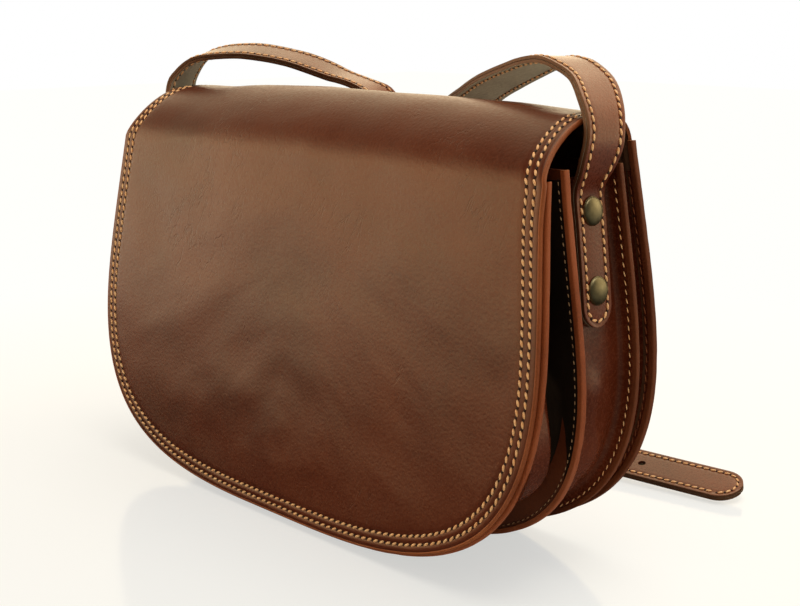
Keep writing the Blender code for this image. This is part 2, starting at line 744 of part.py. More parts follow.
def disc(top, bottom):
    return [(0, top), (snapRadius, top), (snapRadius, bottom), (0, bottom)]


liningY = frontWall(snapHeight) - flapStandoff + flapThick + gap + liningThick / 2
socketFrame = snapFrame(frontWall(snapHeight))
studFrame = snapFrame(liningY)
turned("snap_socket", disc(panelThick / 2 + snapProud, -panelThick / 2), magnetSteel, socketFrame)
turned("snap_stud", disc(liningThick / 2, -liningThick / 2 - snapProud), magnetSteel, studFrame)
cut(frontPanel, rod("socket_seat", snapRadius + snapSeat, panelThick + cutOverrun, socketFrame))
cut(flapLining, rod("stud_seat", snapRadius + snapSeat, liningThick + gap, studFrame))


# Moving pieces hang from an empty on the line they turn or slide along.
def moves(name, place, pieces, parent=None):
    pivot = bpy.data.objects.new(name, None)
    bag.objects.link(pivot)
    pivot.location = place
    if parent is not None:
        pivot.parent = parent
        pivot.matrix_parent_inverse = Matrix.Translation(parent.location).inverted()
    for piece in pieces:
        held = bpy.data.objects[piece]
        held.parent = pivot
        held.matrix_parent_inverse = Matrix.Translation(pivot.location).inverted()
    return pivot


moves("flap_hinge", (0, ridgeY, ridgeHeight + 2 * gap), ["flap_outer", "flap_lining", "snap_stud"])
strapLift = moves("strap_lift", (0, strapLiftY, strapCrest + strapHalf),
                  ["short_strap", "short_strap_lining", "long_strap", "long_strap_lining",
                   "buckle_frame", "buckle_chape"])
moves("keeper_slide", (keeperX, buckleY, overStrap), ["strap_keeper"], strapLift)
moves("prong_pivot", (heelX, buckleY, raisedMid), ["buckle_prong"], strapLift)

# The whole bag moves so that the origin is under the front divider.
originY = frontDividerWall(0)
for piece in list(bag.objects) + list(cutters.objects):
    if piece.parent is None:
        piece.location.y -= originY
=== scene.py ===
import math

import bmesh
import bpy
import numpy as np
from mathutils import Matrix, Vector, noise


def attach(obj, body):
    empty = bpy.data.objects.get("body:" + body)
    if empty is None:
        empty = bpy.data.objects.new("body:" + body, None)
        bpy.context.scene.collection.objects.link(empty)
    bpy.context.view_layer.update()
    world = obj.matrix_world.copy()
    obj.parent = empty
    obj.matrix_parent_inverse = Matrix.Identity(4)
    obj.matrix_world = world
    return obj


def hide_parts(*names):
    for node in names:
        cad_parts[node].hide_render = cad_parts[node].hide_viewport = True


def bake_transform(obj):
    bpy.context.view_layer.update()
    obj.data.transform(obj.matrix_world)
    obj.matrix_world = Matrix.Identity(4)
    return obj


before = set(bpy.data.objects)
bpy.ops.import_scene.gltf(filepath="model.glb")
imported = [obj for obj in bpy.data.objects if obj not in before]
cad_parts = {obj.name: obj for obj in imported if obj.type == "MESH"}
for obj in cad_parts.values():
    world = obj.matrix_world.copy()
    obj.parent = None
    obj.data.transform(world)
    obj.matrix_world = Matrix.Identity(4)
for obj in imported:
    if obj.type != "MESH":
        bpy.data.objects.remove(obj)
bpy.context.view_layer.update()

mm = 0.001
print("frame loaded")


# small helpers

def hexColor(code):
    # sRGB hex to the linear values that a shader takes
    values = [int(code[i:i + 2], 16) / 255 for i in (1, 3, 5)]
    return tuple(v / 12.92 if v <= 0.04045 else ((v + 0.055) / 1.055) ** 2.4 for v in values) + (1.0,)


def addNode(tree, kind, settings=None, **links):
    # one node with its settings, and links or values for its inputs by name or number
    node = tree.nodes.new(kind)
    for key, value in (settings or {}).items():
        setattr(node, key, value)
    for key, value in links.items():
        name = int(key[1:]) if key[0] == "i" and key[1:].isdigit() else key.replace("_", " ")
        socket = node.inputs[name]
        if isinstance(value, bpy.types.Node):
            value = value.outputs[0]
        if isinstance(value, bpy.types.NodeSocket):
            tree.links.new(value, socket)
        else:
            socket.default_value = value
    return node


def ramp(tree, factor, stops):
    node = addNode(tree, "ShaderNodeValToRGB", i0=factor)
    while len(node.color_ramp.elements) < len(stops):
        node.color_ramp.elements.new(0.5)
    for element, (place, code) in zip(node.color_ramp.elements, stops):
        element.position = place
        element.color = hexColor(code)
    return node.outputs["Color"]


def bezier(a, b, c, d, t):
    a, b, c, d = (np.array(p, float) for p in (a, b, c, d))
    return (1 - t) ** 3 * a + 3 * (1 - t) ** 2 * t * b + 3 * (1 - t) * t * t * c + t ** 3 * d


def unit(v):
    return v / np.maximum(np.linalg.norm(v, axis=-1, keepdims=True), 1e-9)


def plain(obj):
    # the evaluated result as a plain mesh, with no modifier left
    graph = bpy.context.evaluated_depsgraph_get()
    made = bpy.data.meshes.new_from_object(obj.evaluated_get(graph))
    obj.modifiers.clear()
    obj.data = made
    return obj


def softEdges(obj, angle=48):
    obj.data.shade_smooth()
    obj.data.set_sharp_from_angle(angle=math.radians(angle))
    return obj


def addPiece(name, mesh, *finishes):
    # an object in the scene for a mesh, with its materials in order
    for finish in finishes:
        mesh.materials.append(finish)
    obj = bpy.data.objects.new(name, mesh)
    bpy.context.scene.collection.objects.link(obj)
    return obj


def fromWork(name, work, *finishes):
    # the object for a finished bmesh
    mesh = bpy.data.meshes.new(name)
    work.to_mesh(mesh)
    work.free()
    return addPiece(name, mesh, *finishes)


originY = 34.516  # the shared frame's origin lies this far behind the zero of the depths below, in mm
weld = 0.04 * mm  # points nearer than this are one point


def framed(middle, turn):
    return Matrix.Translation(Vector((middle.x, middle.y - originY, middle.z)) * mm) @ turn


def inFrame(place):
    # a place in the bag's own mm becomes metres in the shared frame
    return Vector((place[0] * mm, (place[1] - originY) * mm, place[2] * mm))


def addGrid(work, places, turned):
    # a grid of places becomes quads, turned over where they would face inwards
    verts = [[work.verts.new(inFrame(p)) for p in ring] for ring in places]
    for i in range(len(verts) - 1):
        for j in range(len(verts[0]) - 1):
            quad = [verts[i][j], verts[i][j + 1], verts[i + 1][j + 1], verts[i + 1][j]]
            if turned:
                quad.reverse()
            work.faces.new(quad)


def smoothShare(share):
    return share * share * (3 - 2 * share)


def skin(name, rows, finish, flip=False, uv=None):
    # rows of places in mm become one smooth sheet
    rows = np.asarray(rows, float)
    count, across = rows.shape[:2]
    places = rows.reshape(-1, 3) * mm
    places[:, 1] -= originY * mm
    index = np.arange(count * across).reshape(count, across)
    faces = np.stack([index[:-1, :-1], index[:-1, 1:], index[1:, 1:], index[1:, :-1]], -1).reshape(-1, 4)
    if flip:
        faces = faces[:, ::-1]
    mesh = bpy.data.meshes.new(name)
    mesh.from_pydata(places.tolist(), [], faces.tolist())
    if uv is not None:
        layer = mesh.uv_layers.new(name="UVMap")
        flat = np.asarray(uv, float).reshape(-1, 2)
        layer.data.foreach_set("uv", flat[faces.reshape(-1)].ravel())
    return addPiece(name, mesh, finish)


def thicken(obj, thick, offset=-1, rounding=0.0, segments=2, rim=None):
    # thickness, then the cut edges are rounded over, as burnished leather is
    if rim:
        obj.data.materials.append(rim)
    solid = obj.modifiers.new("thickness", "SOLIDIFY")
    solid.thickness = thick * mm
    solid.offset = offset
    solid.use_quality_normals = True
    solid.material_offset_rim = 1 if rim else 0
    if rounding:
        bevel = obj.modifiers.new("burnished", "BEVEL")
        bevel.width = thick * rounding * mm
        bevel.segments = segments
        bevel.limit_method = "ANGLE"
        bevel.angle_limit = math.radians(50)
        bevel.use_clamp_overlap = True
    return softEdges(plain(obj))


# materials

wrinkles = {"tilt": 24.0, "stretch": 4.0, "perMetre": 150.0, "halfWidth": 0.022, "depth": 0.0004,
            "strength": 0.22, "creaseShade": 0.5, "patchPerMetre": 24.0, "patchFrom": 0.52, "patchTo": 0.66,
            "bottom": 0.05, "top": 0.13, "fewer": -0.08, "more": 0.04}
clouds = {"perMetre": 13.0, "speckleShare": 0.4, "start": 0.5, "base": 0.2, "light": 0.42}
sheen = {"speckleFrom": 0.3, "speckleTo": 0.7, "smoother": 0.05, "rougher": 0.09}
grainDepth = 0.00022
highlightTint = "#ffdcb4"  # the wax warms the shine


def leather(name, base, dark, light, roughness, grain=1.3, crease=0.0, coat=0.2, bump=0.3, cloud=1.0):
    # vegetable-tanned hide, dyed and waxed: fine grain and short wrinkles under a soft shine
    made = bpy.data.materials.new(name)
    made.use_nodes = True
    tree = made.node_tree
    shader = tree.nodes["Principled BSDF"]
    place = addNode(tree, "ShaderNodeTexCoord").outputs["Object"]
    cloudy = addNode(tree, "ShaderNodeTexNoise", Vector=place, Scale=clouds["perMetre"], Detail=5.0,
                     Roughness=0.6)
    # the grain is about 0.5 mm on the real hide and is drawn coarser, so that it shows
    speckle = addNode(tree, "ShaderNodeTexNoise", Vector=place, Scale=1 / (grain * mm), Detail=3.0,
                      Roughness=0.7)
    spread = addNode(tree, "ShaderNodeMath", {"operation": "MULTIPLY"}, i0=cloudy, i1=cloud)
    mixed = addNode(tree, "ShaderNodeMath", {"operation": "MULTIPLY_ADD"}, i0=speckle,
                    i1=clouds["speckleShare"], i2=spread)
    low = clouds["start"] * cloud
    color = ramp(tree, mixed, [(low, dark), (low + clouds["base"], base), (low + clouds["light"], light)])
    pebble = addNode(tree, "ShaderNodeTexVoronoi", {"feature": "SMOOTH_F1"}, Vector=place,
                     Scale=1 / (grain * 0.9 * mm), Smoothness=0.7)
    height = addNode(tree, "ShaderNodeMath", {"operation": "MULTIPLY_ADD"}, i0=pebble, i1=0.8, i2=speckle)
    relief = addNode(tree, "ShaderNodeBump", Height=height, Strength=bump, Distance=grainDepth)
    if crease:
        # short wrinkles that rise to the right, 5 to 15 mm long, in patches and mostly in the upper half
        turned = addNode(tree, "ShaderNodeMapping", {"vector_type": "TEXTURE"}, Vector=place,
                         Rotation=(0.0, math.radians(wrinkles["tilt"]), 0.0),
                         Scale=(1.0, 1.0, wrinkles["stretch"]))
        bent = addNode(tree, "ShaderNodeTexNoise", Vector=turned, Scale=wrinkles["perMetre"], Detail=3.0,
                       Roughness=0.55, Distortion=0.3)
        middle = addNode(tree, "ShaderNodeMath", {"operation": "SUBTRACT"}, i0=bent, i1=0.5)
        near = addNode(tree, "ShaderNodeMath", {"operation": "ABSOLUTE"}, i0=middle)
        line = addNode(tree, "ShaderNodeMapRange", i0=near, i1=0.0, i2=wrinkles["halfWidth"], i3=1.0, i4=0.0)
        patch = addNode(tree, "ShaderNodeTexNoise", Vector=place, Scale=wrinkles["patchPerMetre"], Detail=3.0)
        heightOf = addNode(tree, "ShaderNodeSeparateXYZ", i0=place)
        upper = addNode(tree, "ShaderNodeMapRange", i0=heightOf.outputs["Z"], i1=wrinkles["bottom"],
                        i2=wrinkles["top"], i3=wrinkles["fewer"], i4=wrinkles["more"])
        raised = addNode(tree, "ShaderNodeMath", {"operation": "ADD"}, i0=patch, i1=upper)
        where = addNode(tree, "ShaderNodeMapRange", i0=raised, i1=wrinkles["patchFrom"],
                        i2=wrinkles["patchTo"], i3=0.0, i4=crease)
        kept = addNode(tree, "ShaderNodeMath", {"operation": "MULTIPLY"}, i0=line, i1=where)
        turnedOver = addNode(tree, "ShaderNodeMath", {"operation": "SUBTRACT"}, i0=1.0, i1=kept)
        relief = addNode(tree, "ShaderNodeBump", Height=turnedOver, Strength=wrinkles["strength"],
                         Distance=wrinkles["depth"], Normal=relief)
        # painted shade: the colour is darkened along the creases, where shade falls in them
        fold = addNode(tree, "ShaderNodeMath", {"operation": "MULTIPLY"}, i0=kept, i1=wrinkles["creaseShade"])
        color = addNode(tree, "ShaderNodeMix", {"data_type": "RGBA"}, i0=fold, i6=color,
                        i7=hexColor(dark)).outputs[2]
    shine = addNode(tree, "ShaderNodeMapRange", i0=speckle, i1=sheen["speckleFrom"], i2=sheen["speckleTo"],
                    i3=roughness - sheen["smoother"], i4=roughness + sheen["rougher"])
    tree.links.new(color, shader.inputs["Base Color"])
    tree.links.new(shine.outputs[0], shader.inputs["Roughness"])
    tree.links.new(relief.outputs[0], shader.inputs["Normal"])
    shader.inputs["IOR"].default_value = 1.5
    shader.inputs["Specular Tint"].default_value = hexColor(highlightTint)
    shader.inputs["Coat Weight"].default_value = coat
    shader.inputs["Coat Roughness"].default_value = 0.3
    return made


def plainFinish(name, color, roughness, metallic=0.0, perMetre=300.0, bump=0.2, deep=None):
    # one colour, a deeper one in its hollows, and a fine unevenness
    made = bpy.data.materials.new(name)
    made.use_nodes = True
    tree = made.node_tree
    shader = tree.nodes["Principled BSDF"]
    place = addNode(tree, "ShaderNodeTexCoord").outputs["Object"]
    cloud = addNode(tree, "ShaderNodeTexNoise", Vector=place, Scale=perMetre, Detail=4.0)
    tone = ramp(tree, cloud, [(0.3, deep or color), (0.7, color)])
    tree.links.new(tone, shader.inputs["Base Color"])
    shader.inputs["Roughness"].default_value = roughness
    shader.inputs["Metallic"].default_value = metallic
    relief = addNode(tree, "ShaderNodeBump", Height=cloud, Strength=bump, Distance=0.0001)
    tree.links.new(relief.outputs[0], shader.inputs["Normal"])
    return made


# hides: base, dark and light colour, roughness, grain in mm, wrinkles, coat, bump, cloudiness

# waxed hides: a soft shine over fine grain, and on the flap the wrinkles of use
flapHide = leather("waxed vegetable-tanned flap hide", "#521c08", "#421405", "#5e240c", 0.36, 1.5, 1.0, 0.1)
wallHide = leather("waxed wall hide", "#5a2611", "#43190a", "#6b3218", 0.4, 1.2)
# polished by rubbing, so it mirrors the window in its folds
gussetHide = leather("polished dark gusset hide", "#5a2410", "#3c1207", "#6e3018", 0.24, 1.6, 0.6, 0.4, 0.4)
# waxed more heavily than the walls: redder, with a clearer shine
strapHide = leather("waxed strap hide", "#64240c", "#4a1808", "#7c3418", 0.27, 1.2, 0.0, 0.35)
# matt and even, for it has no wax
flapLiningHide = leather("smooth lining hide", "#5a3a26", "#452a1a", "#6a4630", 0.6, 1.3, 0.0, 0.0)
# dull strips: a redder copy with painted light for the bands where the light falls on them, and a darker copy
# with painted shade for those in shade
bindingHide = leather("dyed binding hide painted lighter where lit", "#944722", "#702e12", "#9e5430", 0.6, 0.9, 0.0, 0.0, 0.4)
shadedBindingHide = leather("binding hide painted darker for the shade", "#642c12", "#4a1a08", "#783a1a", 0.6, 0.9, 0.0, 0.0, 0.4)
# cut edges: painted on the flap, rubbed smooth on the strap, raw and pale on the bindings
edgePaint = leather("painted leather edge", "#8a4420", "#682c11", "#a2582c", 0.45, 0.8, 0.0, 0.05, 0.4)
strapEdge = leather("burnished strap edge", "#54301c", "#42200e", "#6c4228", 0.5, 0.8, 0.0, 0.0, 0.4)
cutEdge = leather("raw cut of the hide", "#9c6438", "#7a4420", "#c08a58", 0.8, 0.6, 0.0, 0.0, 0.4)
# backs of hides: matt and greyish on the strap; painted shade: the front gusset black where it lies deep in
# its fold
fleshSide = leather("grey-green flesh side", "#a1947a", "#82775c", "#bcb08f", 0.7, 1.6, 0.0, 0.0, 0.5)
gussetShadeBlack = leather("front gusset painted black for the shade in its fold", "#170d08", "#0b0604", "#26160d", 0.8, 1.0, 0.0,
                   0.0, 0.4)
# threads: the waxed one shines a little, the fine ones are dull, and a darker copy of the fine one is painted
# shade for the row in the rear gusset
# painted highlight: the waxed thread's lighter tone lies on its high spots, over the deeper golden tone in
# its hollows
waxedThread = plainFinish("waxed polyester thread, golden", "#ffcf90", 0.36, 0, 900, 0.3, "#f0a664")
fineThread = plainFinish("fine thread of the walls, pale", "#c8a070", 0.6, 0, 900, 0.3, "#906038")
shadedFineThread = plainFinish("fine thread painted darker for the shade, orange", "#a85c28", 0.7, 0, 900, 0.3, "#6e3412")
# needle holes: real holes, painted dark for the shade inside them
needleHoleShade = plainFinish("needle hole in shadow", "#2e1408", 0.85)
# metal: dull brass whose brighter high spots are a painted highlight, and plain nickel plate
antiqueBrass = plainFinish("antique brass, painted highlight on its high spots", "#9c9474", 0.42, 1.0, 260, 0.12,
                           "#7c7458")
paleSteel = plainFinish("nickel-plated magnet steel", "#b9b6b0", 0.3, 1.0)
print("materials made")


# the outline that every wall shares, in mm

bag = {"halfWidth": 145.5, "widestHeight": 85.3, "flatHalf": 20.0, "bottomReach": 73.7, "lowerReach": 71.2,
       "upperReach": 28.8, "topHalfWidth": 136.2, "outlineTop": 189.9, "topReach": 30.1, "pocketTop": 162.5,
       "dividerTop": 166.0, "backTop": 174.0, "stations": 96, "middleShare": 0.4}

fine = np.linspace(0, 1, 200)[:, None]
widest = (bag["halfWidth"], bag["widestHeight"])
lowCurve = bezier((bag["flatHalf"], 0), (bag["flatHalf"] + bag["bottomReach"], 0),
                  (bag["halfWidth"], bag["widestHeight"] - bag["lowerReach"]), widest, fine)
highCurve = bezier(widest, (bag["halfWidth"], bag["widestHeight"] + bag["upperReach"]),
                   (bag["topHalfWidth"], bag["outlineTop"] - bag["topReach"]),
                   (bag["topHalfWidth"], bag["outlineTop"]), fine)
outline = np.vstack([[[0, 0]], lowCurve, highCurve[1:]])


def wallAt(mid, lean, bow):
    # how deep a wall stands at each height: its place, its lean and its bow
    def depth(z):
        share = z / bag["outlineTop"] - bag["middleShare"]
        return mid + lean * share + bow * share * share
    return depth


frontWall = wallAt(3.6, 21.4, 5.7)
frontDividerWall = wallAt(27.5, -15.8, 13.1)
rearDividerWall = wallAt(60.7, -4.4, -13.6)
backWall = wallAt(71.9, -2.8, -25.3)


def halfWidthAt(z):
    return np.interp(z, outline[1:, 1], outline[1:, 0])


def stationsTo(top, count):
    # places (x, z) from the middle of the bottom up one side, evenly spaced, and the inward direction at each
    part = outline[outline[:, 1] < top]
    part = np.vstack([part, [halfWidthAt(top), top]])
    along = np.concatenate([[0], np.cumsum(np.linalg.norm(np.diff(part, axis=0), axis=1))])
    even = np.linspace(0, along[-1], count)
    places = np.stack([np.interp(even, along, part[:, 0]), np.interp(even, along, part[:, 1])], 1)
    run = unit(np.gradient(places, axis=0))
    run[0] = (1, 0)
    return places, np.stack([-run[:, 1], run[:, 0]], 1)


sideCount = bag["stations"]
sideStations = {top: stationsTo(bag[top], sideCount) for top in ("pocketTop", "dividerTop", "backTop")}


def aroundOutline(profile, top="pocketTop"):
    # profile(z, share, side) gives (inset, depth) pairs at a height and a share of the way up one side
    sidePlaces, sideInward = sideStations[top]
    rows = []
    both = [(-1, i) for i in reversed(range(1, sideCount))] + [(1, i) for i in range(sideCount)]
    for side, i in both:
        place, inward = sidePlaces[i], sideInward[i]
        rows.append([(side * (place[0] + inward[0] * inset), depth, place[1] + inward[1] * inset)
                     for inset, depth in profile(place[1], i / (sideCount - 1), side)])
    return np.array(rows)


# flap, turn and back panel: one hide from the bottom of the flap over the ridge and down the back

hide = {"thick": 1.25, "flapInset": 1.9, "flapShift": 0.9, "flapLift": 0.8, "liftReach": 60.0,
        "cornerFlare": 1.4, "flareHeight": 163.0, "flareReach": 10.0, "standoff": 3.55,
        "shoulderHeight": 162.2, "shoulderRise": 7.5, "ridgeY": 45.0, "ridgeHeight": 188.1,
        "ridgeHalf": 131.2, "cornerPower": 0.7, "crestReach": 15.5, "crestFall": 0.4, "droop": 4.0,
        "turnHeight": 172.0, "turnRise": 14.0, "turnReach": 12.5, "backFace": 0.9, "backInset": 1.05,
        "stations": 110, "middleFrom": 34.0, "rowOne": 3.9, "rowTwo": 7.5, "seed": 3.0}
ridge = (hide["ridgeY"], hide["ridgeHeight"])


def overTheTop(face, a, b, c, power):
    # the wall's rows go on along a curve to the ridge, where the hide is at its ridge width
    wide = face[-1][0]
    for t in np.linspace(0, 1, 40)[1:]:
        y, z = bezier(a, b, c, ridge, t)
        face.append((wide + (hide["ridgeHalf"] - wide) * t ** power, y, z, t))
    return np.array(face)


def flapProfile():
    # outer face from the flap's bottom edge up to the ridge: rows of (edge x, y, z, share of the shoulder)
    places, inward = stationsTo(hide["shoulderHeight"], 120)
    rows = [tuple(p + n * hide["flapInset"]) for p, n in zip(places, inward)]
    face = [(x, frontWall(z) - hide["standoff"], z, 0.0) for x, z in rows]
    y0, z0 = face[-1][1:3]
    slope = frontWall(z0) - frontWall(z0 - 1)
    rise = hide["shoulderRise"] / math.hypot(1, slope)
    return overTheTop(face, (y0, z0), (y0 + slope * rise, z0 + rise),
                      (ridge[0] - hide["crestReach"], ridge[1] - hide["crestFall"]), hide["cornerPower"])


def backProfile():
    # outer face from the bottom of the back up to the ridge
    places, inward = stationsTo(hide["turnHeight"], 120)
    rows = [tuple(p + n * hide["backInset"]) for p, n in zip(places, inward)]
    face = [(x, backWall(z) + hide["backFace"], z, 0.0) for x, z in rows]
    y0 = backWall(hide["turnHeight"]) + hide["backFace"]
    return overTheTop(face, (y0, hide["turnHeight"]), (y0, hide["turnHeight"] + hide["turnRise"]),
                      (ridge[0] + hide["turnReach"], ridge[1]), 1.0)


class Panel:
    # maps (x, v) on a flat pattern, v from the bottom edge towards the ridge, to the curved face
    def __init__(self, face, outwardSign):
        self.face = face
        self.sign = outwardSign
        step = np.hypot(np.diff(face[:, 1]), np.diff(face[:, 2]))
        self.along = np.concatenate([[0], np.cumsum(step)])
        keep = np.concatenate([[True], step > 1e-6])
        self.vs, self.rows = self.along[keep], face[keep]
        self.top = self.along[-1]
        edge = np.stack([face[:, 0], self.along], 1)
        distance = np.concatenate([[0], np.cumsum(np.linalg.norm(np.diff(edge, axis=0), axis=1))])
        even = np.linspace(0, distance[-1], hide["stations"])
        self.edge = np.stack([np.interp(even, distance, edge[:, k]) for k in (0, 1)], 1)
        run = unit(np.gradient(self.edge, axis=0))
        run[0] = (1, 0)
        inward = np.stack([-run[:, 1], run[:, 0]], 1)
        ease = np.clip((np.arange(len(inward)) - (len(inward) - 9)) / 8, 0, 1)[:, None]
        self.inward = unit(inward * (1 - ease) + np.array([-1.0, 0.0]) * ease)

    def at(self, x, v):
        y = np.interp(v, self.vs, self.rows[:, 1])
        z = np.interp(v, self.vs, self.rows[:, 2])
        t = np.interp(v, self.vs, self.rows[:, 3])
        wide = np.interp(v, self.vs, self.rows[:, 0])
        share = x / np.maximum(wide, 20)
        if self.sign > 0:
            # the flap hangs a little to the left, and stands out on the right where it turns over the top
            near = np.exp(-((z - hide["flareHeight"]) / hide["flareReach"]) ** 2)
            flare = hide["cornerFlare"] * near * np.clip(share, 0, 1) ** 4
            x = x - hide["flapShift"] * (1 - t) ** 2 + flare
            z = z + hide["flapLift"] * np.clip(1 - v / hide["liftReach"], 0, 1)
        return np.stack([x, y, z - hide["droop"] * share * share * t], -1)

    def normal(self, x, v):
        ahead = self.at(x, np.minimum(v + 0.6, self.top)) - self.at(x, np.maximum(v - 0.6, 0))
        across = self.at(x + 0.6, v) - self.at(x - 0.6, v)
        return unit(np.cross(across, ahead) * self.sign)


def bumps(x, v, seed, scale):
    # slow unevenness of a hide that has been carried about
    return np.array([noise.fractal(Vector((a / scale + seed, b / scale, seed * 1.7)), 1.0, 2.0, 3)
                     for a, b in zip(np.ravel(x), np.ravel(v))]).reshape(np.shape(x))


worn = {"groove": 0.4, "grooveWidth": 0.75, "edgeDrop": 0.9, "edgeReach": 1.6, "calmReach": 24.0,
        "swell": 0.9, "swellSize": 70.0, "ripple": 0.22, "rippleSize": 17.0}


def faceRelief(inset, x, v):
    # grooves under the stitches, a soft roll between them, and the worn edge
    one, two = (-worn["groove"] * np.exp(-((inset - row) / worn["grooveWidth"]) ** 2)
                for row in (hide["rowOne"], hide["rowTwo"]))
    edge = -worn["edgeDrop"] * np.clip(1 - inset / worn["edgeReach"], 0, 1) ** 2
    calm = np.clip(inset / worn["calmReach"], 0, 1)
    return one + two + edge + calm * (worn["swell"] * bumps(x, v, hide["seed"], worn["swellSize"])
                                      + worn["ripple"] * bumps(x, v, hide["seed"] + 9, worn["rippleSize"]))


bandInsets = np.array([0, 0.35, 0.8, 1.4, 2.4, 3.1, 3.5, 3.9, 4.3, 4.7, 5.7, 6.7, 7.1, 7.5, 7.9, 8.4, 10.5,
                       14.0, 20.0])
innerShares = np.linspace(0, 1, 15)[1:]


def panelRings(panel):
    # flat pattern as rings: a band that follows the edge, then straight runs to the middle line
    count = len(panel.edge)
    shares = np.linspace(0, 1, count)
    middle = np.stack([np.zeros(count), hide["middleFrom"] + (panel.top - hide["middleFrom"]) * shares], 1)
    rings = [panel.edge + panel.inward * inset for inset in bandInsets]
    last = rings[-1]
    rings += [last + (middle - last) * share for share in innerShares]
    further = bandInsets[-1] + np.linalg.norm(np.array(rings[len(bandInsets):]) - last, axis=2)
    insets = np.concatenate([np.repeat(bandInsets[:, None], count, 1), further])
    return np.array(rings), insets


def panelPlaces(panel, flat, insets):
    # places on the outer face; near the ridge both panels take the ridge's own relief, so that they meet
    x, v = flat[..., 0], np.clip(flat[..., 1], 0, panel.top)
    fade = np.clip((panel.top - v) / 14, 0, 1)
    rise = faceRelief(insets, x, v) * fade + (1 - fade) * faceRelief(insets, x, panel.top + 0 * v)
    return panel.at(x, v) + panel.normal(x, v) * rise[..., None]


flapPanel = Panel(flapProfile(), 1)
backPanel = Panel(backProfile(), -1)


def hideMesh():
    work = bmesh.new()
    for panel, turnOver in ((flapPanel, False), (backPanel, True)):
        flat, insets = panelRings(panel)
        for side in (1, -1):
            addGrid(work, panelPlaces(panel, flat * np.array([side, 1.0]), insets), (side < 0) != turnOver)
    bmesh.ops.remove_doubles(work, verts=work.verts, dist=weld)
    return fromWork("flap_and_back", work, flapHide, edgePaint, flapLiningHide)


flapAndBack = hideMesh()
solid = flapAndBack.modifiers.new("thickness", "SOLIDIFY")
solid.thickness = hide["thick"] * mm
solid.offset = -1
solid.material_offset_rim = 1
solid.material_offset = 2
softEdges(plain(flapAndBack), 50)
print("flap and back made", len(flapAndBack.data.polygons))


# flap lining, under the hide

lining = {"thick": 0.5, "behind": 0.45, "edgeInset": 0.8}


def liningMesh():
    work = bmesh.new()
    flat, insets = panelRings(flapPanel)
    keep = (insets >= lining["edgeInset"]).all(axis=1)
    for side in (1, -1):
        signed = flat * np.array([side, 1.0])
        x, v = signed[..., 0], np.clip(signed[..., 1], 0, flapPanel.top)
        behind = flapPanel.at(x, v) - flapPanel.normal(x, v) * (hide["thick"] + lining["behind"])
        addGrid(work, behind[keep], side < 0)
    bmesh.ops.remove_doubles(work, verts=work.verts, dist=weld)
    return fromWork("flap_lining_hide", work, flapLiningHide)


flapLining = thicken(liningMesh(), lining["thick"])


# the flap's rolled edge: hide turned over the lining, burnished round

rolledEdge = {"inset": 0.55, "depth": 1.25, "width": 0.85, "height": 1.15, "sides": 14, "step": 1.0}


def edgeRoll():
    count = len(flapPanel.edge)
    turn = np.linspace(0, math.tau, rolledEdge["sides"] + 1)
    rows = []
    for side, k in [(-1, k) for k in reversed(range(1, count))] + [(1, k) for k in range(count)]:
        place, inward = flapPanel.edge[k], flapPanel.inward[k]
        mirror = np.array([side, 1.0])
        middle = (place + inward * rolledEdge["inset"]) * mirror
        within = (place + inward * (rolledEdge["inset"] + rolledEdge["step"])) * mirror
        middle[1], within[1] = min(middle[1], flapPanel.top), min(within[1], flapPanel.top)
        at = flapPanel.at(middle[0], middle[1])
        into = unit(flapPanel.at(within[0], within[1]) - at)
        out = flapPanel.normal(middle[0], middle[1])
        centre = at - out * rolledEdge["depth"]
        rows.append([centre + into * (rolledEdge["width"] * math.cos(a))
                     + out * (rolledEdge["height"] * math.sin(a)) for a in turn])
    obj = skin("flap_rolled_edge", rows, edgePaint)
    work = bmesh.new()
    work.from_mesh(obj.data)
    bmesh.ops.remove_doubles(work, verts=work.verts, dist=0.00002)
    bmesh.ops.holes_fill(work, edges=work.edges, sides=rolledEdge["sides"] + 2)
    bmesh.ops.recalc_face_normals(work, faces=work.faces)
    work.to_mesh(obj.data)
    work.free()
    return softEdges(obj, 60)


flapEdge = edgeRoll()


# walls of the three pockets

walls = {"rows": 70, "columns": 41, "panelThick": 0.9, "panelInset": 2.0, "dividerThick": 1.4,
         "dividerInset": 1.4, "wave": 0.35, "waveSize": 45.0}


def wallSkin(name, depth, inset, thick, seed, top="pocketTop"):
    places, inward = stationsTo(bag[top], walls["rows"])
    rows = []
    for place, direction in zip(places, inward):
        x, z = place + direction * inset
        shares = np.linspace(-1, 1, walls["columns"])
        wave = walls["wave"] * bumps(x * shares, z + 0 * shares, seed, walls["waveSize"])
        rows.append(np.stack([x * shares, depth(z) + wave * (1 - shares ** 8), z + 0 * shares], -1))
    return thicken(skin(name, rows, wallHide), thick, offset=0, rounding=0.3)


divider = (walls["dividerInset"], walls["dividerThick"])
frontWallHide = wallSkin("front_wall", frontWall, walls["panelInset"], walls["panelThick"], 5.0)
frontDividerHide = wallSkin("front_divider_wall", frontDividerWall, *divider, 7.0, "dividerTop")
rearDividerHide = wallSkin("rear_divider_wall", rearDividerWall, *divider, 11.0, "dividerTop")
print("walls made")


# gussets: a flange beside each wall, a rolled corner, and a floor that bulges and creases

gussets = {"thick": 0.6, "floor": 8.3, "corner": 2.6, "cornerShare": 0.3, "play": 0.15, "litColumns": 19,
           "litShare": 0.73}


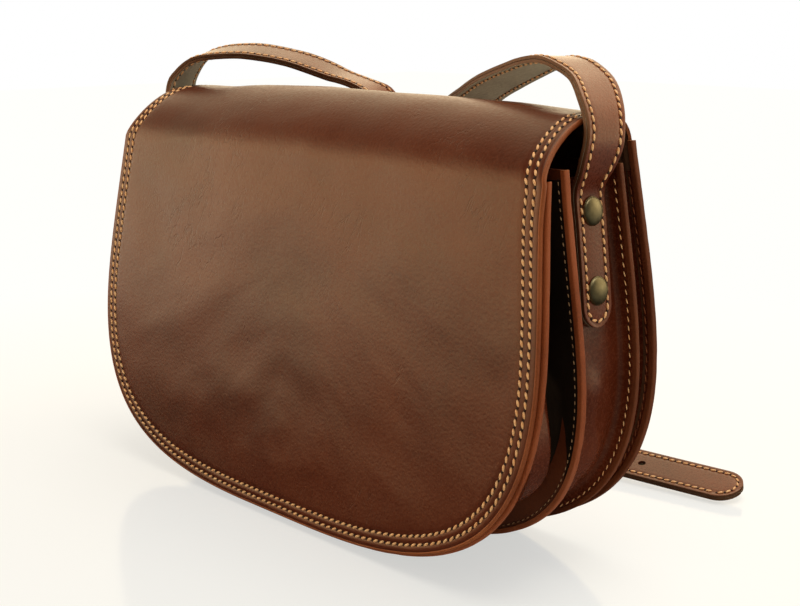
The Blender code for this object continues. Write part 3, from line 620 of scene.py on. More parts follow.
def gussetSkin(name, frontAt, frontHalf, rearAt, rearHalf, floorAt, startInset, endInset, shaded=False):
    def profile(z, share, side):
        front = frontAt(z) + frontHalf + gussets["play"]
        rear = rearAt(z) - rearHalf - gussets["play"]
        wide = rear - front
        corner = min(gussets["corner"], gussets["cornerShare"] * wide)
        turn = np.linspace(0, math.pi / 2, 6)
        deepFront = floorAt(share, 0.0, side)
        deepRear = floorAt(share, 1.0, side)
        pairs = [(inset, front) for inset in np.linspace(startInset, deepFront - corner, 7)]
        pairs += [(deepFront - corner + corner * math.sin(a), front + corner - corner * math.cos(a))
                  for a in turn[1:]]
        pairs += [(floorAt(share, t, side), front + corner + (wide - 2 * corner) * t)
                  for t in np.linspace(0, 1, 15)[1:-1]]
        pairs += [(deepRear - corner + corner * math.cos(a), rear - corner + corner * math.sin(a))
                  for a in turn]
        return pairs + [(inset, rear) for inset in np.linspace(deepRear - corner, endInset, 7)[1:]]

    rows = aroundOutline(profile)
    made = skin(name, rows, gussetHide)
    if shaded:
        # painted shade: the side towards the divider, and the deep upper part, are painted black for the
        # shade in the fold
        made.data.materials.append(gussetShadeBlack)
        columns = rows.shape[1] - 1
        for face in made.data.polygons:
            share = abs(face.index // columns + 1 - sideCount) / sideCount
            if face.index % columns > gussets["litColumns"] or share > gussets["litShare"]:
                face.material_index = 1
    return thicken(made, gussets["thick"])


def bell(x, middle, width):
    return math.exp(-((x - middle) / width) ** 2)


def frontFloor(share, t, side):
    # deep at the top, and bulging out beside the front wall at the lower corners
    wave = noise.noise(Vector((share * 9 * side, t * 1.5, 2.0)))
    deep = 22.0 * min(1.0, max(0.0, (share - 0.7) / 0.12))
    fall = smoothShare(min(1.0, max(0.0, (0.86 - t) / 0.34)))
    return 12.5 + deep - 9.6 * bell(share, 0.58, 0.1) * fall + 0.7 * wave


def middleFloor(share, t, side):
    # held flat by the strap tabs, with a soft pillow and short creases below them
    across = math.sin(math.pi * t)
    tab = 1 / (1 + math.exp((share - 0.70) * 60))
    crease = noise.noise(Vector((share * 26 + t * 3.0, t * 2.0 + side * 5, 8.0)))
    slow = noise.noise(Vector((share * 11, t * 1.4, 4.0 + side)))
    pillow = 2.2 * bell(share, 0.56, 0.05) + 1.2 * bell(share, 0.7, 0.04)
    return gussets["floor"] - across * (1.5 + 2.1 * crease + 1.5 * slow + pillow) * tab


def rearFloor(share, t, side):
    across = math.sin(math.pi * t)
    return 9.5 - 1.2 * across + 0.6 * noise.noise(Vector((share * 12 * side, t * 2.0, 6.0)))


halfPanel = walls["panelThick"] / 2
halfDivider = walls["dividerThick"] / 2
frontGussetHide = gussetSkin("front_gusset_hide", frontWall, halfPanel, frontDividerWall, halfDivider,
                             frontFloor, 2.2, 1.6, shaded=True)
middleGussetHide = gussetSkin("middle_gusset_hide", frontDividerWall, halfDivider, rearDividerWall,
                              halfDivider, middleFloor, 1.6, 1.6)
rearGussetHide = gussetSkin("rear_gusset_hide", rearDividerWall, halfDivider, backWall, halfPanel, rearFloor,
                            1.6, 1.2)
print("gussets made")


# bindings: a strip of dyed hide folded over each raw edge, full and round at the fold

frontFold = {"before": 0.5, "after": 0.7, "leg": 3.4, "rearLeg": 3.8, "thick": 0.5, "fold": 0.8, "inset": 1.2,
             "top": "pocketTop"}
frontDividerFold = {"before": 0.75, "after": 0.75, "leg": 2.2, "rearLeg": 2.4, "thick": 0.75, "fold": 0.7,
                    "inset": 0.0, "top": "dividerTop"}
rearDividerFold = {"before": 0.75, "after": 0.75, "leg": 2.0, "rearLeg": 2.2, "thick": 0.4, "fold": 0.6,
                   "inset": 0.0, "top": "dividerTop"}
backFold = {"before": 0.75, "after": 1.1, "leg": 2.4, "rearLeg": 3.6, "thick": 0.5, "fold": 0.7, "inset": 0.0,
            "top": "backTop"}
squareness = 0.6  # 1 is a round fold, and less is squarer
swellHeight = 0.18


def bindingSkin(name, wallDepth, sizes, seed, finish):
    def profile(z, share, side):
        front = wallDepth(z) - sizes["before"] - sizes["thick"]
        rear = wallDepth(z) + sizes["after"] + sizes["thick"]
        half = (rear - front) / 2
        middle = (rear + front) / 2
        swell = swellHeight * noise.noise(Vector((share * 34 * side, seed, 0.0)))
        fold = sizes["fold"]
        pairs = [(inset, front) for inset in np.linspace(sizes["leg"], sizes["inset"] + fold, 4)[:-1]]
        for a in np.linspace(-math.pi / 2, math.pi / 2, 13):
            # a squarish fold: flat across the top, round at both corners
            out = abs(math.cos(a)) ** squareness
            along = math.copysign(abs(math.sin(a)) ** squareness, a)
            pairs.append((sizes["inset"] + fold * (1 - out) + max(0.0, -swell),
                          middle + (half + swell) * along))
        rearInsets = np.linspace(sizes["inset"] + fold, sizes["rearLeg"], 4)[1:]
        return pairs + [(inset, rear) for inset in rearInsets]

    strip = skin(name, aroundOutline(profile, sizes["top"]), finish)
    return thicken(strip, sizes["thick"], rounding=0.3, rim=cutEdge)


frontBand = bindingSkin("front_binding_band", frontWall, frontFold, 1.0, bindingHide)
frontDividerBand = bindingSkin("front_divider_band", frontDividerWall, frontDividerFold, 2.0, bindingHide)
rearDividerBand = bindingSkin("rear_divider_band", rearDividerWall, rearDividerFold, 3.0, shadedBindingHide)
backBand = bindingSkin("back_binding_band", backWall, backFold, 4.0, shadedBindingHide)
print("bindings made")


# shoulder strap: two layers sewn together, from a riveted tab on each side to the buckle behind the bag

strap = {"width": 21.0, "tabWidth": 16.8, "layer": 1.3, "gap": 0.25, "tabTip": 104.3, "taperFrom": 156.0,
         "taperTo": 173.0, "flare": 4.0, "y": 41.8, "crest": 204.5, "buckleX": -100.0, "buckleY": 129.0,
         "backY": 71.0, "tailReach": 133.0, "tailY": 162.5, "tailEnd": 1.85, "rowInset": 2.5, "groove": 0.25,
         "grooveWidth": 0.8, "tailRoll": 16.0, "rollFrom": 0.3, "rollTo": 0.55, "holes": 5, "holeRadius": 1.9,
         "firstHole": 51.5, "holePitch": 25.0}
stack = 2 * strap["layer"] + strap["gap"]
strapHalf = stack / 2
layerDepth = (strap["layer"] + strap["gap"]) / 2
buckle = {"length": 18.0, "chapeThick": 1.0, "chapeLength": 20.0, "prongEye": 2.4, "barReach": 1.2,
          "keeperSetback": 11.0, "keeperLength": 9.0, "keeperTravel": 10.0, "chapeStep": 2.6}
heelX = strap["buckleX"] + buckle["length"] / 2
frontBarX = strap["buckleX"] - buckle["length"] / 2
chapeEnd = heelX + buckle["chapeLength"]
keeperX = chapeEnd + buckle["keeperSetback"]
keeperEnd = keeperX + buckle["keeperLength"] / 2 + buckle["keeperTravel"]
raisedMid = buckle["chapeThick"] + strap["gap"] + strapHalf
chapeRadius = strapHalf + strap["gap"] + buckle["chapeThick"] / 2
overChape = raisedMid + chapeRadius + buckle["chapeThick"] / 2 + strap["gap"] + strapHalf
overStrap = raisedMid + stack + strap["gap"]

pocketPlaces, pocketInward = stationsTo(bag["pocketTop"], 120)
floorLine = pocketPlaces + pocketInward * gussets["floor"]
tabStandoff = 0.85


def onGusset(z):
    # how far out the middle of a tab lies on the middle gusset
    return float(np.interp(z, floorLine[:, 1], floorLine[:, 0])) + tabStandoff + strapHalf


# the route: over the top as shares of half width, back and crest, down and along the floor as shares of
# the buckle's place and of the crest or the strap's thickness, and the tail as shares of its reach
rightArchShares = [(0.940, 0.636, 0.860), (0.911, 0.683, 0.914), (0.821, 0.803, 0.968),
                   (0.696, 0.843, 0.996), (0.526, 0.943, 0.969), (0.309, 1.094, 0.916), (0.111, 1.273, 0.841)]
leftArchShares = [(-0.948, 0.636, 0.864), (-0.945, 0.680, 0.922), (-0.879, 0.761, 0.973),
                  (-0.761, 0.944, 0.988), (-0.632, 1.161, 0.971), (-0.516, 1.363, 0.934),
                  (-0.381, 1.543, 0.881)]
# how far each run is twisted about its own line, in degrees, at these lengths from its tab's tip
twistAt = [0, 48, 60, 75, 95, 115, 140, 170, 210, 250, 300]
rightTwist = [0, 0, 0, 0, -1, -3, 10, 16.7, 17.9, 15.5, 0]
leftTwist = [0, 0, 9, 18, 20.6, 15.6, 6.1, -2.1, -10.1, -8.7, 0]
rightFallShares = [(-0.0695, 0.783, 0.6846), (-0.050, 0.845, 0.4645), (-0.120, 0.899, 0.220),
                   (-0.090, 0.9256, 0.078)]
leftFallShares = [(0.570, 0.907, 0.7726), (0.660, 0.9605, 0.562), (1.000, 0.992, 0.303),
                  (1.340, 1.008, 0.176), (1.480, 1.008, 0.093)]
shortFloorShares = [(0.059, 0.942, 1.04), (0.220, 0.961, 0.538), (0.460, 0.994, 0.90)]
longFloorShares = [(1.380, 1.003, 1.228), (1.220, 1.0016, 0.502)]
tailShares = [(0.054, 0.093, 2.35), (0.203, 0.453, 2.5), (0.433, 0.613, 2.35), (0.645, 0.747, 2.2),
              (0.834, 0.880, 2.0)]


def stationsFrom(rows, width, depth, height):
    return [(x * width, y * depth, z * height) for x, y, z in rows]


def route(arch, fall, onFloor):
    points = stationsFrom(arch, bag["halfWidth"], strap["backY"], strap["crest"])
    points += stationsFrom(fall, strap["buckleX"], strap["buckleY"], strap["crest"])
    return points + stationsFrom(onFloor, strap["buckleX"], strap["buckleY"], stack)


tabPoints = [(onGusset(z), strap["y"], z) for z in np.linspace(strap["tabTip"], strap["taperFrom"], 5)]
tabPoints.append((onGusset(bag["pocketTop"]) - 0.3 + strap["flare"], strap["y"],
                  (strap["taperFrom"] + strap["taperTo"]) / 2))
rightPoints = tabPoints + route(rightArchShares, rightFallShares, shortFloorShares)
rightPoints += [(x, strap["buckleY"], raisedMid)
                for x in (keeperX, chapeEnd, heelX + buckle["prongEye"] + 0.5)]
leftPoints = [(-x, y, z) for x, y, z in tabPoints] + route(leftArchShares, leftFallShares, longFloorShares)
# through the frame, over the chape and through the keeper, as (x, height)
threading = [(frontBarX - buckle["barReach"], strapHalf), (frontBarX + buckle["barReach"], strapHalf),
             (heelX - chapeRadius, overChape), (heelX + chapeRadius, overChape), (chapeEnd, overChape),
             (chapeEnd + strapHalf + buckle["chapeStep"], overStrap),
             (keeperX + buckle["keeperLength"] / 2, overStrap), (keeperEnd, overStrap)]
leftPoints += [(x, strap["buckleY"], z) for x, z in threading]
tailRun, tailSide = strap["tailReach"] - keeperEnd, strap["tailY"] - strap["buckleY"]
leftPoints += [(keeperEnd + tailRun * x, strap["buckleY"] + tailSide * y, z * stack)
               for x, y, z in tailShares]
leftPoints += [(strap["tailReach"], strap["tailY"], strap["tailEnd"] * stack)]


class Run:
    # a strap run as a smooth centre line with its length, its facing and its direction across
    def __init__(self, points, side):
        points = np.array(points, float)
        ends = np.vstack([2 * points[0] - points[1], points, 2 * points[-1] - points[-2]])
        line = []
        for k in range(len(points) - 1):
            p0, p1, p2, p3 = ends[k:k + 4]
            t = np.linspace(0, 1, 24, endpoint=False)[:, None]
            line.append(0.5 * (2 * p1 + (p2 - p0) * t + (2 * p0 - 5 * p1 + 4 * p2 - p3) * t * t
                               + (3 * p1 - p0 - 3 * p2 + p3) * t ** 3))
        line = np.vstack([*line, points[-1:]])
        line[:, 2] = np.maximum(line[:, 2], strapHalf)
        self.line, self.side = line, side
        self.along = np.concatenate([[0], np.cumsum(np.linalg.norm(np.diff(line, axis=0), axis=1))])
        self.length = self.along[-1]

    def place(self, s):
        return np.stack([np.interp(s, self.along, self.line[:, k]) for k in range(3)], -1)

    def frameAt(self, s):
        # the run's direction, its outward direction and the direction across it, after its twist
        run = unit(self.place(s + 1.3) - self.place(s - 1.3))
        facing = unit(np.stack([self.side * run[..., 2], 0 * run[..., 0], -self.side * run[..., 0]], -1))
        across = np.cross(run, facing)
        roll = np.radians(np.interp(s, twistAt, rightTwist if self.side > 0 else leftTwist))
        if self.side < 0:
            # the tail lies over on its near edge
            reach = self.place(s)[..., 0] / strap["tailReach"] - strap["rollFrom"]
            share = np.clip(reach / (strap["rollTo"] - strap["rollFrom"]), 0, 1) * (s > 0.6 * self.length)
            roll = roll + math.radians(strap["tailRoll"]) * smoothShare(share)
        cosine, sine = np.cos(roll)[..., None], np.sin(roll)[..., None]
        return run, facing * cosine + across * sine, across * cosine - facing * sine

    def at(self, s, a, depth):
        run, facing, across = self.frameAt(s)
        return self.place(s) + across * np.asarray(a)[..., None] + facing * np.asarray(depth)[..., None]


rightRun = Run(rightPoints, 1)
leftRun = Run(leftPoints, -1)


def roundTip(gone, half, wide):
    # half the width near a round tip, this far from it
    radius = wide / 2
    return np.where(gone < radius, np.sqrt(np.maximum(radius ** 2 - (radius - gone) ** 2, 0.01)), half)


def tabHalf(run, s):
    heights = np.interp(s, run.along, run.line[:, 2])
    taper = np.clip((heights - strap["taperFrom"]) / (strap["taperTo"] - strap["taperFrom"]), 0, 1)
    taper = smoothShare(np.where(s > strap["taperTo"] - strap["tabTip"] + 8, 1, taper))
    return roundTip(s, (strap["tabWidth"] + (strap["width"] - strap["tabWidth"]) * taper) / 2,
                    strap["tabWidth"])


def longHalf(run, s):
    return roundTip(run.length - s, tabHalf(run, s), strap["width"])


def roundedMarks(run, roundEnd):
    # lengths along a run, close together at its round tips
    quarter = np.linspace(0, math.pi / 2, 9)
    radius, endRadius = strap["tabWidth"] / 2, strap["width"] / 2
    middle = np.linspace(radius, run.length - (endRadius if roundEnd else 0.1), int(run.length / 2.2))
    marks = np.concatenate([(radius * (1 - np.cos(quarter)))[:-1] + 0.02, middle])
    if roundEnd:
        marks = np.concatenate([marks, run.length - endRadius * (1 - np.sin(quarter[1:])) - 0.02])
    return marks


acrossShares = np.array([-1, -0.94, -0.85, -0.76, -0.66, -0.5, 0, 0.5, 0.66, 0.76, 0.85, 0.94, 1])


def strapLayer(name, run, marks, halfAt, depth, finish):
    half = halfAt(run, marks)[:, None]
    a = half * acrossShares
    s = np.repeat(marks[:, None], len(acrossShares), 1)
    inset = half - np.abs(a)
    groove = -strap["groove"] * np.exp(-((inset - strap["rowInset"]) / strap["grooveWidth"]) ** 2)
    rows = run.at(s, a, depth + groove * np.sign(depth))
    uv = np.stack([s * mm, a * mm], -1)
    made = skin(name, rows, finish, flip=run.side < 0, uv=uv)
    return thicken(made, strap["layer"], offset=0, rounding=0.32, segments=3, rim=strapEdge)


rightMarks = roundedMarks(rightRun, False)
leftMarks = roundedMarks(leftRun, True)
rightStrap = strapLayer("right_strap", rightRun, rightMarks, tabHalf, layerDepth, strapHide)
rightFlesh = strapLayer("right_strap_flesh", rightRun, rightMarks, tabHalf, -layerDepth, fleshSide)
leftStrap = strapLayer("left_strap", leftRun, leftMarks, longHalf, layerDepth, strapHide)
leftFlesh = strapLayer("left_strap_flesh", leftRun, leftMarks, longHalf, -layerDepth, fleshSide)


def punchHoles(obj):
    # round holes through both layers of the tail, for the prong
    work = bmesh.new()
    radius = strap["holeRadius"] * mm
    for s in strap["firstHole"] + strap["holePitch"] * np.arange(strap["holes"]):
        mark = np.array(leftRun.length - s)
        run, facing, across = (Vector(v) for v in leftRun.frameAt(mark))
        turn = Matrix((across, run, facing)).transposed().to_4x4()
        bmesh.ops.create_cone(work, cap_ends=True, segments=20, radius1=radius, radius2=radius,
                              depth=2.5 * stack * mm, matrix=framed(Vector(leftRun.place(mark)), turn))
    punch = fromWork("holes", work)
    cut = obj.modifiers.new("punched", "BOOLEAN")
    cut.object = punch
    cut.solver = "EXACT"
    softEdges(plain(obj))
    bpy.data.objects.remove(punch)


for layer in (leftStrap, leftFlesh):
    punchHoles(layer)
print("strap made")


# stitches: Geometry Nodes set one thread and one needle hole at each point of a row

looseness = 4.0  # degrees
holeHeight = 0.35


def stitchTree():
    tree = bpy.data.node_groups.new("sewn row", "GeometryNodeTree")
    sockets = tree.interface
    sockets.new_socket("Row", in_out="INPUT", socket_type="NodeSocketGeometry")
    for name in ("Stitch Length", "Thread Width", "Thread Height", "Slant", "Hole Width", "Pitch"):
        sockets.new_socket(name, in_out="INPUT", socket_type="NodeSocketFloat")
    for name in ("Thread", "Hole"):
        sockets.new_socket(name, in_out="INPUT", socket_type="NodeSocketMaterial")
    sockets.new_socket("Geometry", in_out="OUTPUT", socket_type="NodeSocketGeometry")
    given = addNode(tree, "NodeGroupInput").outputs
    along = addNode(tree, "GeometryNodeInputNamedAttribute", {"data_type": "FLOAT_VECTOR"}, Name="along")
    outward = addNode(tree, "GeometryNodeInputNamedAttribute", {"data_type": "FLOAT_VECTOR"}, Name="outward")
    first = addNode(tree, "FunctionNodeAlignRotationToVector", {"axis": "Z"}, Vector=outward)
    second = addNode(tree, "FunctionNodeAlignRotationToVector", {"axis": "X", "pivot_axis": "Z"},
                     Rotation=first, Vector=along)
    # each stitch leans a little more or less than the next
    loose = addNode(tree, "FunctionNodeRandomValue", i2=-looseness, i3=looseness, Seed=11)
    lean = addNode(tree, "ShaderNodeMath", {"operation": "ADD"}, i0=given["Slant"], i1=loose.outputs[1])
    radians = addNode(tree, "ShaderNodeMath", {"operation": "RADIANS"}, i0=lean)
    tilt = addNode(tree, "ShaderNodeCombineXYZ", Z=radians)
    spun = addNode(tree, "FunctionNodeEulerToRotation", i0=tilt)
    turned = addNode(tree, "FunctionNodeRotateRotation", {"rotation_space": "LOCAL"}, Rotation=second,
                     Rotate_By=spun)
    ball = addNode(tree, "GeometryNodeMeshUVSphere", Segments=10, Rings=6, Radius=0.5 * mm)
    turnBall = addNode(tree, "GeometryNodeTransform", Geometry=ball, Rotation=(0, math.pi / 2, 0))
    size = addNode(tree, "ShaderNodeCombineXYZ", X=given["Stitch Length"], Y=given["Thread Width"],
                   Z=given["Thread Height"])
    threads = addNode(tree, "GeometryNodeInstanceOnPoints", Points=given["Row"], Instance=turnBall,
                      Rotation=turned, Scale=size)
    threadMesh = addNode(tree, "GeometryNodeRealizeInstances", Geometry=threads)
    threadSet = addNode(tree, "GeometryNodeSetMaterial", Geometry=threadMesh, Material=given["Thread"])
    # the needle's holes, dark spots of painted shade, lie half a pitch further along
    pin = addNode(tree, "GeometryNodeMeshUVSphere", Segments=8, Rings=5, Radius=0.5 * mm)
    half = addNode(tree, "ShaderNodeMath", {"operation": "MULTIPLY"}, i0=given["Pitch"], i1=0.5 * mm)
    shift = addNode(tree, "ShaderNodeVectorMath", {"operation": "SCALE"}, i0=along, Scale=half)
    moved = addNode(tree, "GeometryNodeSetPosition", Geometry=given["Row"], Offset=shift)
    pinSize = addNode(tree, "ShaderNodeCombineXYZ", X=given["Hole Width"], Y=given["Hole Width"],
                      Z=holeHeight)
    holes = addNode(tree, "GeometryNodeInstanceOnPoints", Points=moved, Instance=pin, Rotation=second,
                    Scale=pinSize)
    holeMesh = addNode(tree, "GeometryNodeRealizeInstances", Geometry=holes)
    holeSet = addNode(tree, "GeometryNodeSetMaterial", Geometry=holeMesh, Material=given["Hole"])
    joined = addNode(tree, "GeometryNodeJoinGeometry", Geometry=threadSet)
    tree.links.new(holeSet.outputs[0], joined.inputs[0])
    smooth = addNode(tree, "GeometryNodeSetShadeSmooth", Geometry=joined)
    addNode(tree, "NodeGroupOutput", Geometry=smooth)
    return tree


sewnRow = stitchTree()


def between(marks, gone, values):
    return np.stack([np.interp(marks, gone, values[:, k]) for k in range(3)], -1)


def sew(name, rows, sizes, thread=waxedThread):
    # rows: (places, outward directions) in mm, each its own path, with a stitch at every pitch along it
    points, alongs, outs = [], [], []
    for places, outward in rows:
        gone = np.concatenate([[0], np.cumsum(np.linalg.norm(np.diff(places, axis=0), axis=1))])
        marks = np.arange(sizes["pitch"] * 0.5, gone[-1] - sizes["pitch"] * 0.4, sizes["pitch"])
        points.append(between(marks, gone, places))
        alongs.append(unit(between(marks + 0.6, gone, places) - between(marks - 0.6, gone, places)))
        outs.append(unit(between(marks, gone, outward)))
    points, alongs, outs = np.vstack(points), np.vstack(alongs), np.vstack(outs)
    points = (points + outs * sizes["lift"]) * mm
    points[:, 1] -= originY * mm
    mesh = bpy.data.meshes.new(name)
    mesh.from_pydata(points.tolist(), [], [])
    for title, values in (("along", alongs), ("outward", outs)):
        mesh.attributes.new(title, "FLOAT_VECTOR", "POINT").data.foreach_set("vector", values.ravel())
    obj = addPiece(name, mesh)
    modifier = obj.modifiers.new("sewn row", "NODES")
    modifier.node_group = sewnRow
    wanted = {"Stitch Length": sizes["length"], "Thread Width": sizes["width"],
              "Thread Height": sizes["height"], "Slant": sizes["slant"], "Hole Width": sizes["hole"],
              "Pitch": sizes["pitch"], "Thread": thread, "Hole": needleHoleShade}
    for item in sewnRow.interface.items_tree:
        if item.item_type == "SOCKET" and item.in_out == "INPUT" and item.name in wanted:
            modifier[item.identifier] = wanted[item.name]
    return plain(obj)


flapSewing = {"pitch": 3.7, "length": 2.9, "width": 1.12, "height": 1.15, "slant": 20, "hole": 1.3,
              "lift": 0.2}
strapSewing = {"pitch": 3.6, "length": 2.85, "width": 1.08, "height": 1.05, "slant": 15, "hole": 1.2,
               "lift": 0.12}
innerSewing = {"pitch": 3.6, "length": 2.3, "width": 0.5, "height": 0.45, "slant": 16, "hole": 0.6,
               "lift": 0.05}
beadSewing = {"pitch": 3.2, "length": 1.6, "width": 0.4, "height": 0.4, "slant": 10, "hole": 0.5,
              "lift": 0.05}
backSewing = {"pitch": 4.0, "length": 3.2, "width": 0.45, "height": 0.4, "slant": 12, "hole": 0.5,
              "lift": 0.05}


def flapRow(inset):
    # one row from the right end of the ridge, round the bottom, up to the left end
    flat = flapPanel.edge + flapPanel.inward * inset
    flat[:, 1] = np.minimum(flat[:, 1], flapPanel.top)
    both = np.vstack([flat[::-1], flat[1:] * np.array([-1, 1.0])])
    insets = np.full(len(both), float(inset))
    return panelPlaces(flapPanel, both, insets), flapPanel.normal(both[:, 0], both[:, 1])


flapStitches = sew("flap_stitches", [flapRow(hide["rowOne"]), flapRow(hide["rowTwo"])], flapSewing)


def strapRow(run, halfAt, face, roundEnd):
    # one row near each edge of a strap, joined round its tip, on its outer (1) or inner (-1) face
    radius, endRadius = strap["tabWidth"] / 2, strap["width"] / 2
    marks = np.arange(radius, run.length - (endRadius if roundEnd else 2.0), 1.0)
    a = halfAt(run, marks) - strap["rowInset"]
    angle = np.linspace(math.pi / 2, -math.pi / 2, 21)[1:-1]
    s = np.concatenate([marks[::-1], radius - (radius - strap["rowInset"]) * np.cos(angle), marks])
    a = np.concatenate([a[::-1], (radius - strap["rowInset"]) * np.sin(angle), -a])
    if roundEnd:
        s = np.concatenate([s, run.length - endRadius + (endRadius - strap["rowInset"]) * np.cos(angle)])
        a = np.concatenate([a, -(endRadius - strap["rowInset"]) * np.sin(angle)])
    depth = np.full(len(s), (layerDepth + strap["layer"] / 2 - 0.12) * face)
    return run.at(s, a, depth), run.frameAt(s)[1] * face


def bothFaces(name, run, halfAt, roundEnd):
    return sew(name, [strapRow(run, halfAt, face, roundEnd) for face in (1, -1)], strapSewing)


rightStitches = bothFaces("right_strap_stitches", rightRun, tabHalf, False)
leftStitches = bothFaces("left_strap_stitches", leftRun, longHalf, True)


def edgeRow(wallDepth, offset, inset, sign, top="pocketTop"):
    # stitches that hold a binding, seen on the flange in front of it or behind it
    rows = aroundOutline(lambda z, share, side: [(inset, wallDepth(z) + offset)], top)[:, 0]
    return rows, np.tile([0.0, sign, 0.0], (len(rows), 1))


bindingRows = [
    sew("front_divider_stitches", [edgeRow(frontDividerWall, -1.5, 3.4, -1)], beadSewing, fineThread),
    sew("rear_divider_stitches", [edgeRow(rearDividerWall, -1.5, 3.1, -1)], innerSewing),
    sew("back_stitches", [edgeRow(backWall, -1.3, 3.4, -1)], backSewing, shadedFineThread),
    sew("back_panel_stitches", [edgeRow(backWall, 1.65, 2.4, 1, "backTop")], innerSewing)]
print("stitches sewn")


# rivets: spun caps with a low dome, a thin rim and a short post

rivets = {"low": 118.3, "spacing": 30.2, "radius": 5.5, "rise": 1.8, "rim": 0.4, "flange": 0.12, "post": 1.5,
          "postLength": 2.0, "standoff": 0.12, "steps": 56}


def turnedPiece(name, profile, matrix):
    # a profile of (radius, height) in mm, spun about its axis and set in place
    work = bmesh.new()
    verts = [work.verts.new((r * mm, 0, h * mm)) for r, h in profile]
    edges = [work.edges.new((verts[k], verts[k + 1])) for k in range(len(verts) - 1)]
    bmesh.ops.spin(work, geom=verts + edges, cent=(0, 0, 0), axis=(0, 0, 1), angle=math.tau,
                   steps=rivets["steps"])
    bmesh.ops.remove_doubles(work, verts=work.verts, dist=0.000002)
    bmesh.ops.recalc_face_normals(work, faces=work.faces)
    obj = fromWork(name, work, antiqueBrass)
    obj.data.transform(matrix)
    return softEdges(obj, 40)


def rivetFrame(side, height):
    slope = (onGusset(height + 0.25) - onGusset(height - 0.25)) / 0.5
    outward = Vector((side, 0, -slope)).normalized()
    forward = Vector((0, 1, 0))
    turn = Matrix((forward, outward.cross(forward), outward)).transposed().to_4x4()
    lifted = outward * (strapHalf + rivets["standoff"])
    middle = Vector((side * onGusset(height), strap["y"], height)) + lifted
    return framed(middle, turn)


capProfile = [(rivets["radius"] * math.sin(t), rivets["rim"] + rivets["rise"] * math.cos(t))
              for t in np.linspace(0, math.pi / 2, 14)]
flange = rivets["radius"] + rivets["flange"]
capProfile += [(flange, rivets["rim"] * 0.8), (flange, rivets["rim"] * 0.3), (rivets["radius"], 0.0),
               (rivets["post"], 0.0), (rivets["post"], -rivets["postLength"]), (0.0, -rivets["postLength"])]
rivetPieces = {}
for word, side in (("right", 1), ("left", -1)):
    for level, height in (("lower", rivets["low"]), ("upper", rivets["low"] + rivets["spacing"])):
        cap = turnedPiece(f"{word}_{level}_cap", capProfile, rivetFrame(side, height))
        rivetPieces[f"{word}_{level}_rivet"] = cap
print("rivets made")


# stage: camera, table, backdrop and lamps

look = {"place": (0.44217, -0.35485 - originY * mm, 0.22371), "azimuth": 46.081, "elevation": 12.552,
        "lens": 59.737, "sensor": 36.0}
camera = bpy.data.objects.new("camera", bpy.data.cameras.new("camera"))
camera.data.lens = look["lens"]
camera.data.sensor_width = look["sensor"]
camera.location = look["place"]
camera.rotation_euler = (math.radians(90 - look["elevation"]), 0, math.radians(look["azimuth"]))
bpy.context.scene.collection.objects.link(camera)
bpy.context.scene.camera = camera
bpy.context.scene.view_settings.view_transform = "Standard"

# metres, and shares of white
table = {"reach": 3.0, "drop": 0.0004, "color": "#fcfdfa", "roughness": 0.12, "mirrorTint": "#fff2dc",
         "whiteFrom": 0.26, "whiteTo": 0.52, "leastWhite": 0.58,
         "back": (0.7, 0.7, 0.0), "backFrom": 0.3, "backTo": 1.2, "backLow": 0.05, "backHigh": 0.55,
         "front": (-0.7, -0.72, 0.0), "frontFrom": 0.5, "frontTo": 1.1, "frontHigh": 2.6}


def tableFinish():
    # polished pale acrylic: soft shadow, faint reflection, and white where it meets the backdrop
    made = bpy.data.materials.new("pale acrylic table")
    made.use_nodes = True
    tree = made.node_tree
    shader = tree.nodes["Principled BSDF"]
    shader.inputs["Base Color"].default_value = hexColor(table["color"])
    shader.inputs["Roughness"].default_value = table["roughness"]
    shader.inputs["IOR"].default_value = 1.45
    place = addNode(tree, "ShaderNodeTexCoord").outputs["Object"]
    reach = addNode(tree, "ShaderNodeVectorMath", {"operation": "LENGTH"}, i0=place).outputs["Value"]
    fade = addNode(tree, "ShaderNodeMapRange", i0=reach, i1=table["whiteFrom"], i2=table["whiteTo"],
                   i3=table["leastWhite"], i4=1.0)
    rays = addNode(tree, "ShaderNodeLightPath").outputs
    amount = addNode(tree, "ShaderNodeMath", {"operation": "MULTIPLY"}, i0=fade, i1=rays["Is Camera Ray"])
    white = addNode(tree, "ShaderNodeEmission", Color=(1, 1, 0.97, 1), Strength=1.0)
    mix = addNode(tree, "ShaderNodeMixShader", i0=amount, i1=shader, i2=white)
    # what the leather mirrors: the table is bright behind and far in front, and dark near the bag
    behind = addNode(tree, "ShaderNodeVectorMath", {"operation": "DOT_PRODUCT"}, i0=place, i1=table["back"])
    bright = addNode(tree, "ShaderNodeMapRange", i0=behind.outputs["Value"], i1=table["backFrom"],
                     i2=table["backTo"], i3=table["backLow"], i4=table["backHigh"])
    ahead = addNode(tree, "ShaderNodeVectorMath", {"operation": "DOT_PRODUCT"}, i0=place, i1=table["front"])
    far = addNode(tree, "ShaderNodeMapRange", i0=ahead.outputs["Value"], i1=table["frontFrom"],
                  i2=table["frontTo"], i3=0.0, i4=table["frontHigh"])
    most = addNode(tree, "ShaderNodeMath", {"operation": "MAXIMUM"}, i0=bright, i1=far)
    mirrored = addNode(tree, "ShaderNodeEmission", Color=hexColor(table["mirrorTint"]), Strength=most)
    last = addNode(tree, "ShaderNodeMixShader", i0=rays["Is Glossy Ray"], i1=mix, i2=mirrored)
    tree.links.new(last.outputs[0], tree.nodes["Material Output"].inputs["Surface"])
    return made


corners = [(-1, -1), (1, -1), (1, 1), (-1, 1)]
floorMesh = bpy.data.meshes.new("floor")
floorMesh.from_pydata([(x * table["reach"], y * table["reach"], -table["drop"]) for x, y in corners],
                      [], [(0, 1, 2, 3)])
floor = addPiece("floor", floorMesh, tableFinish())

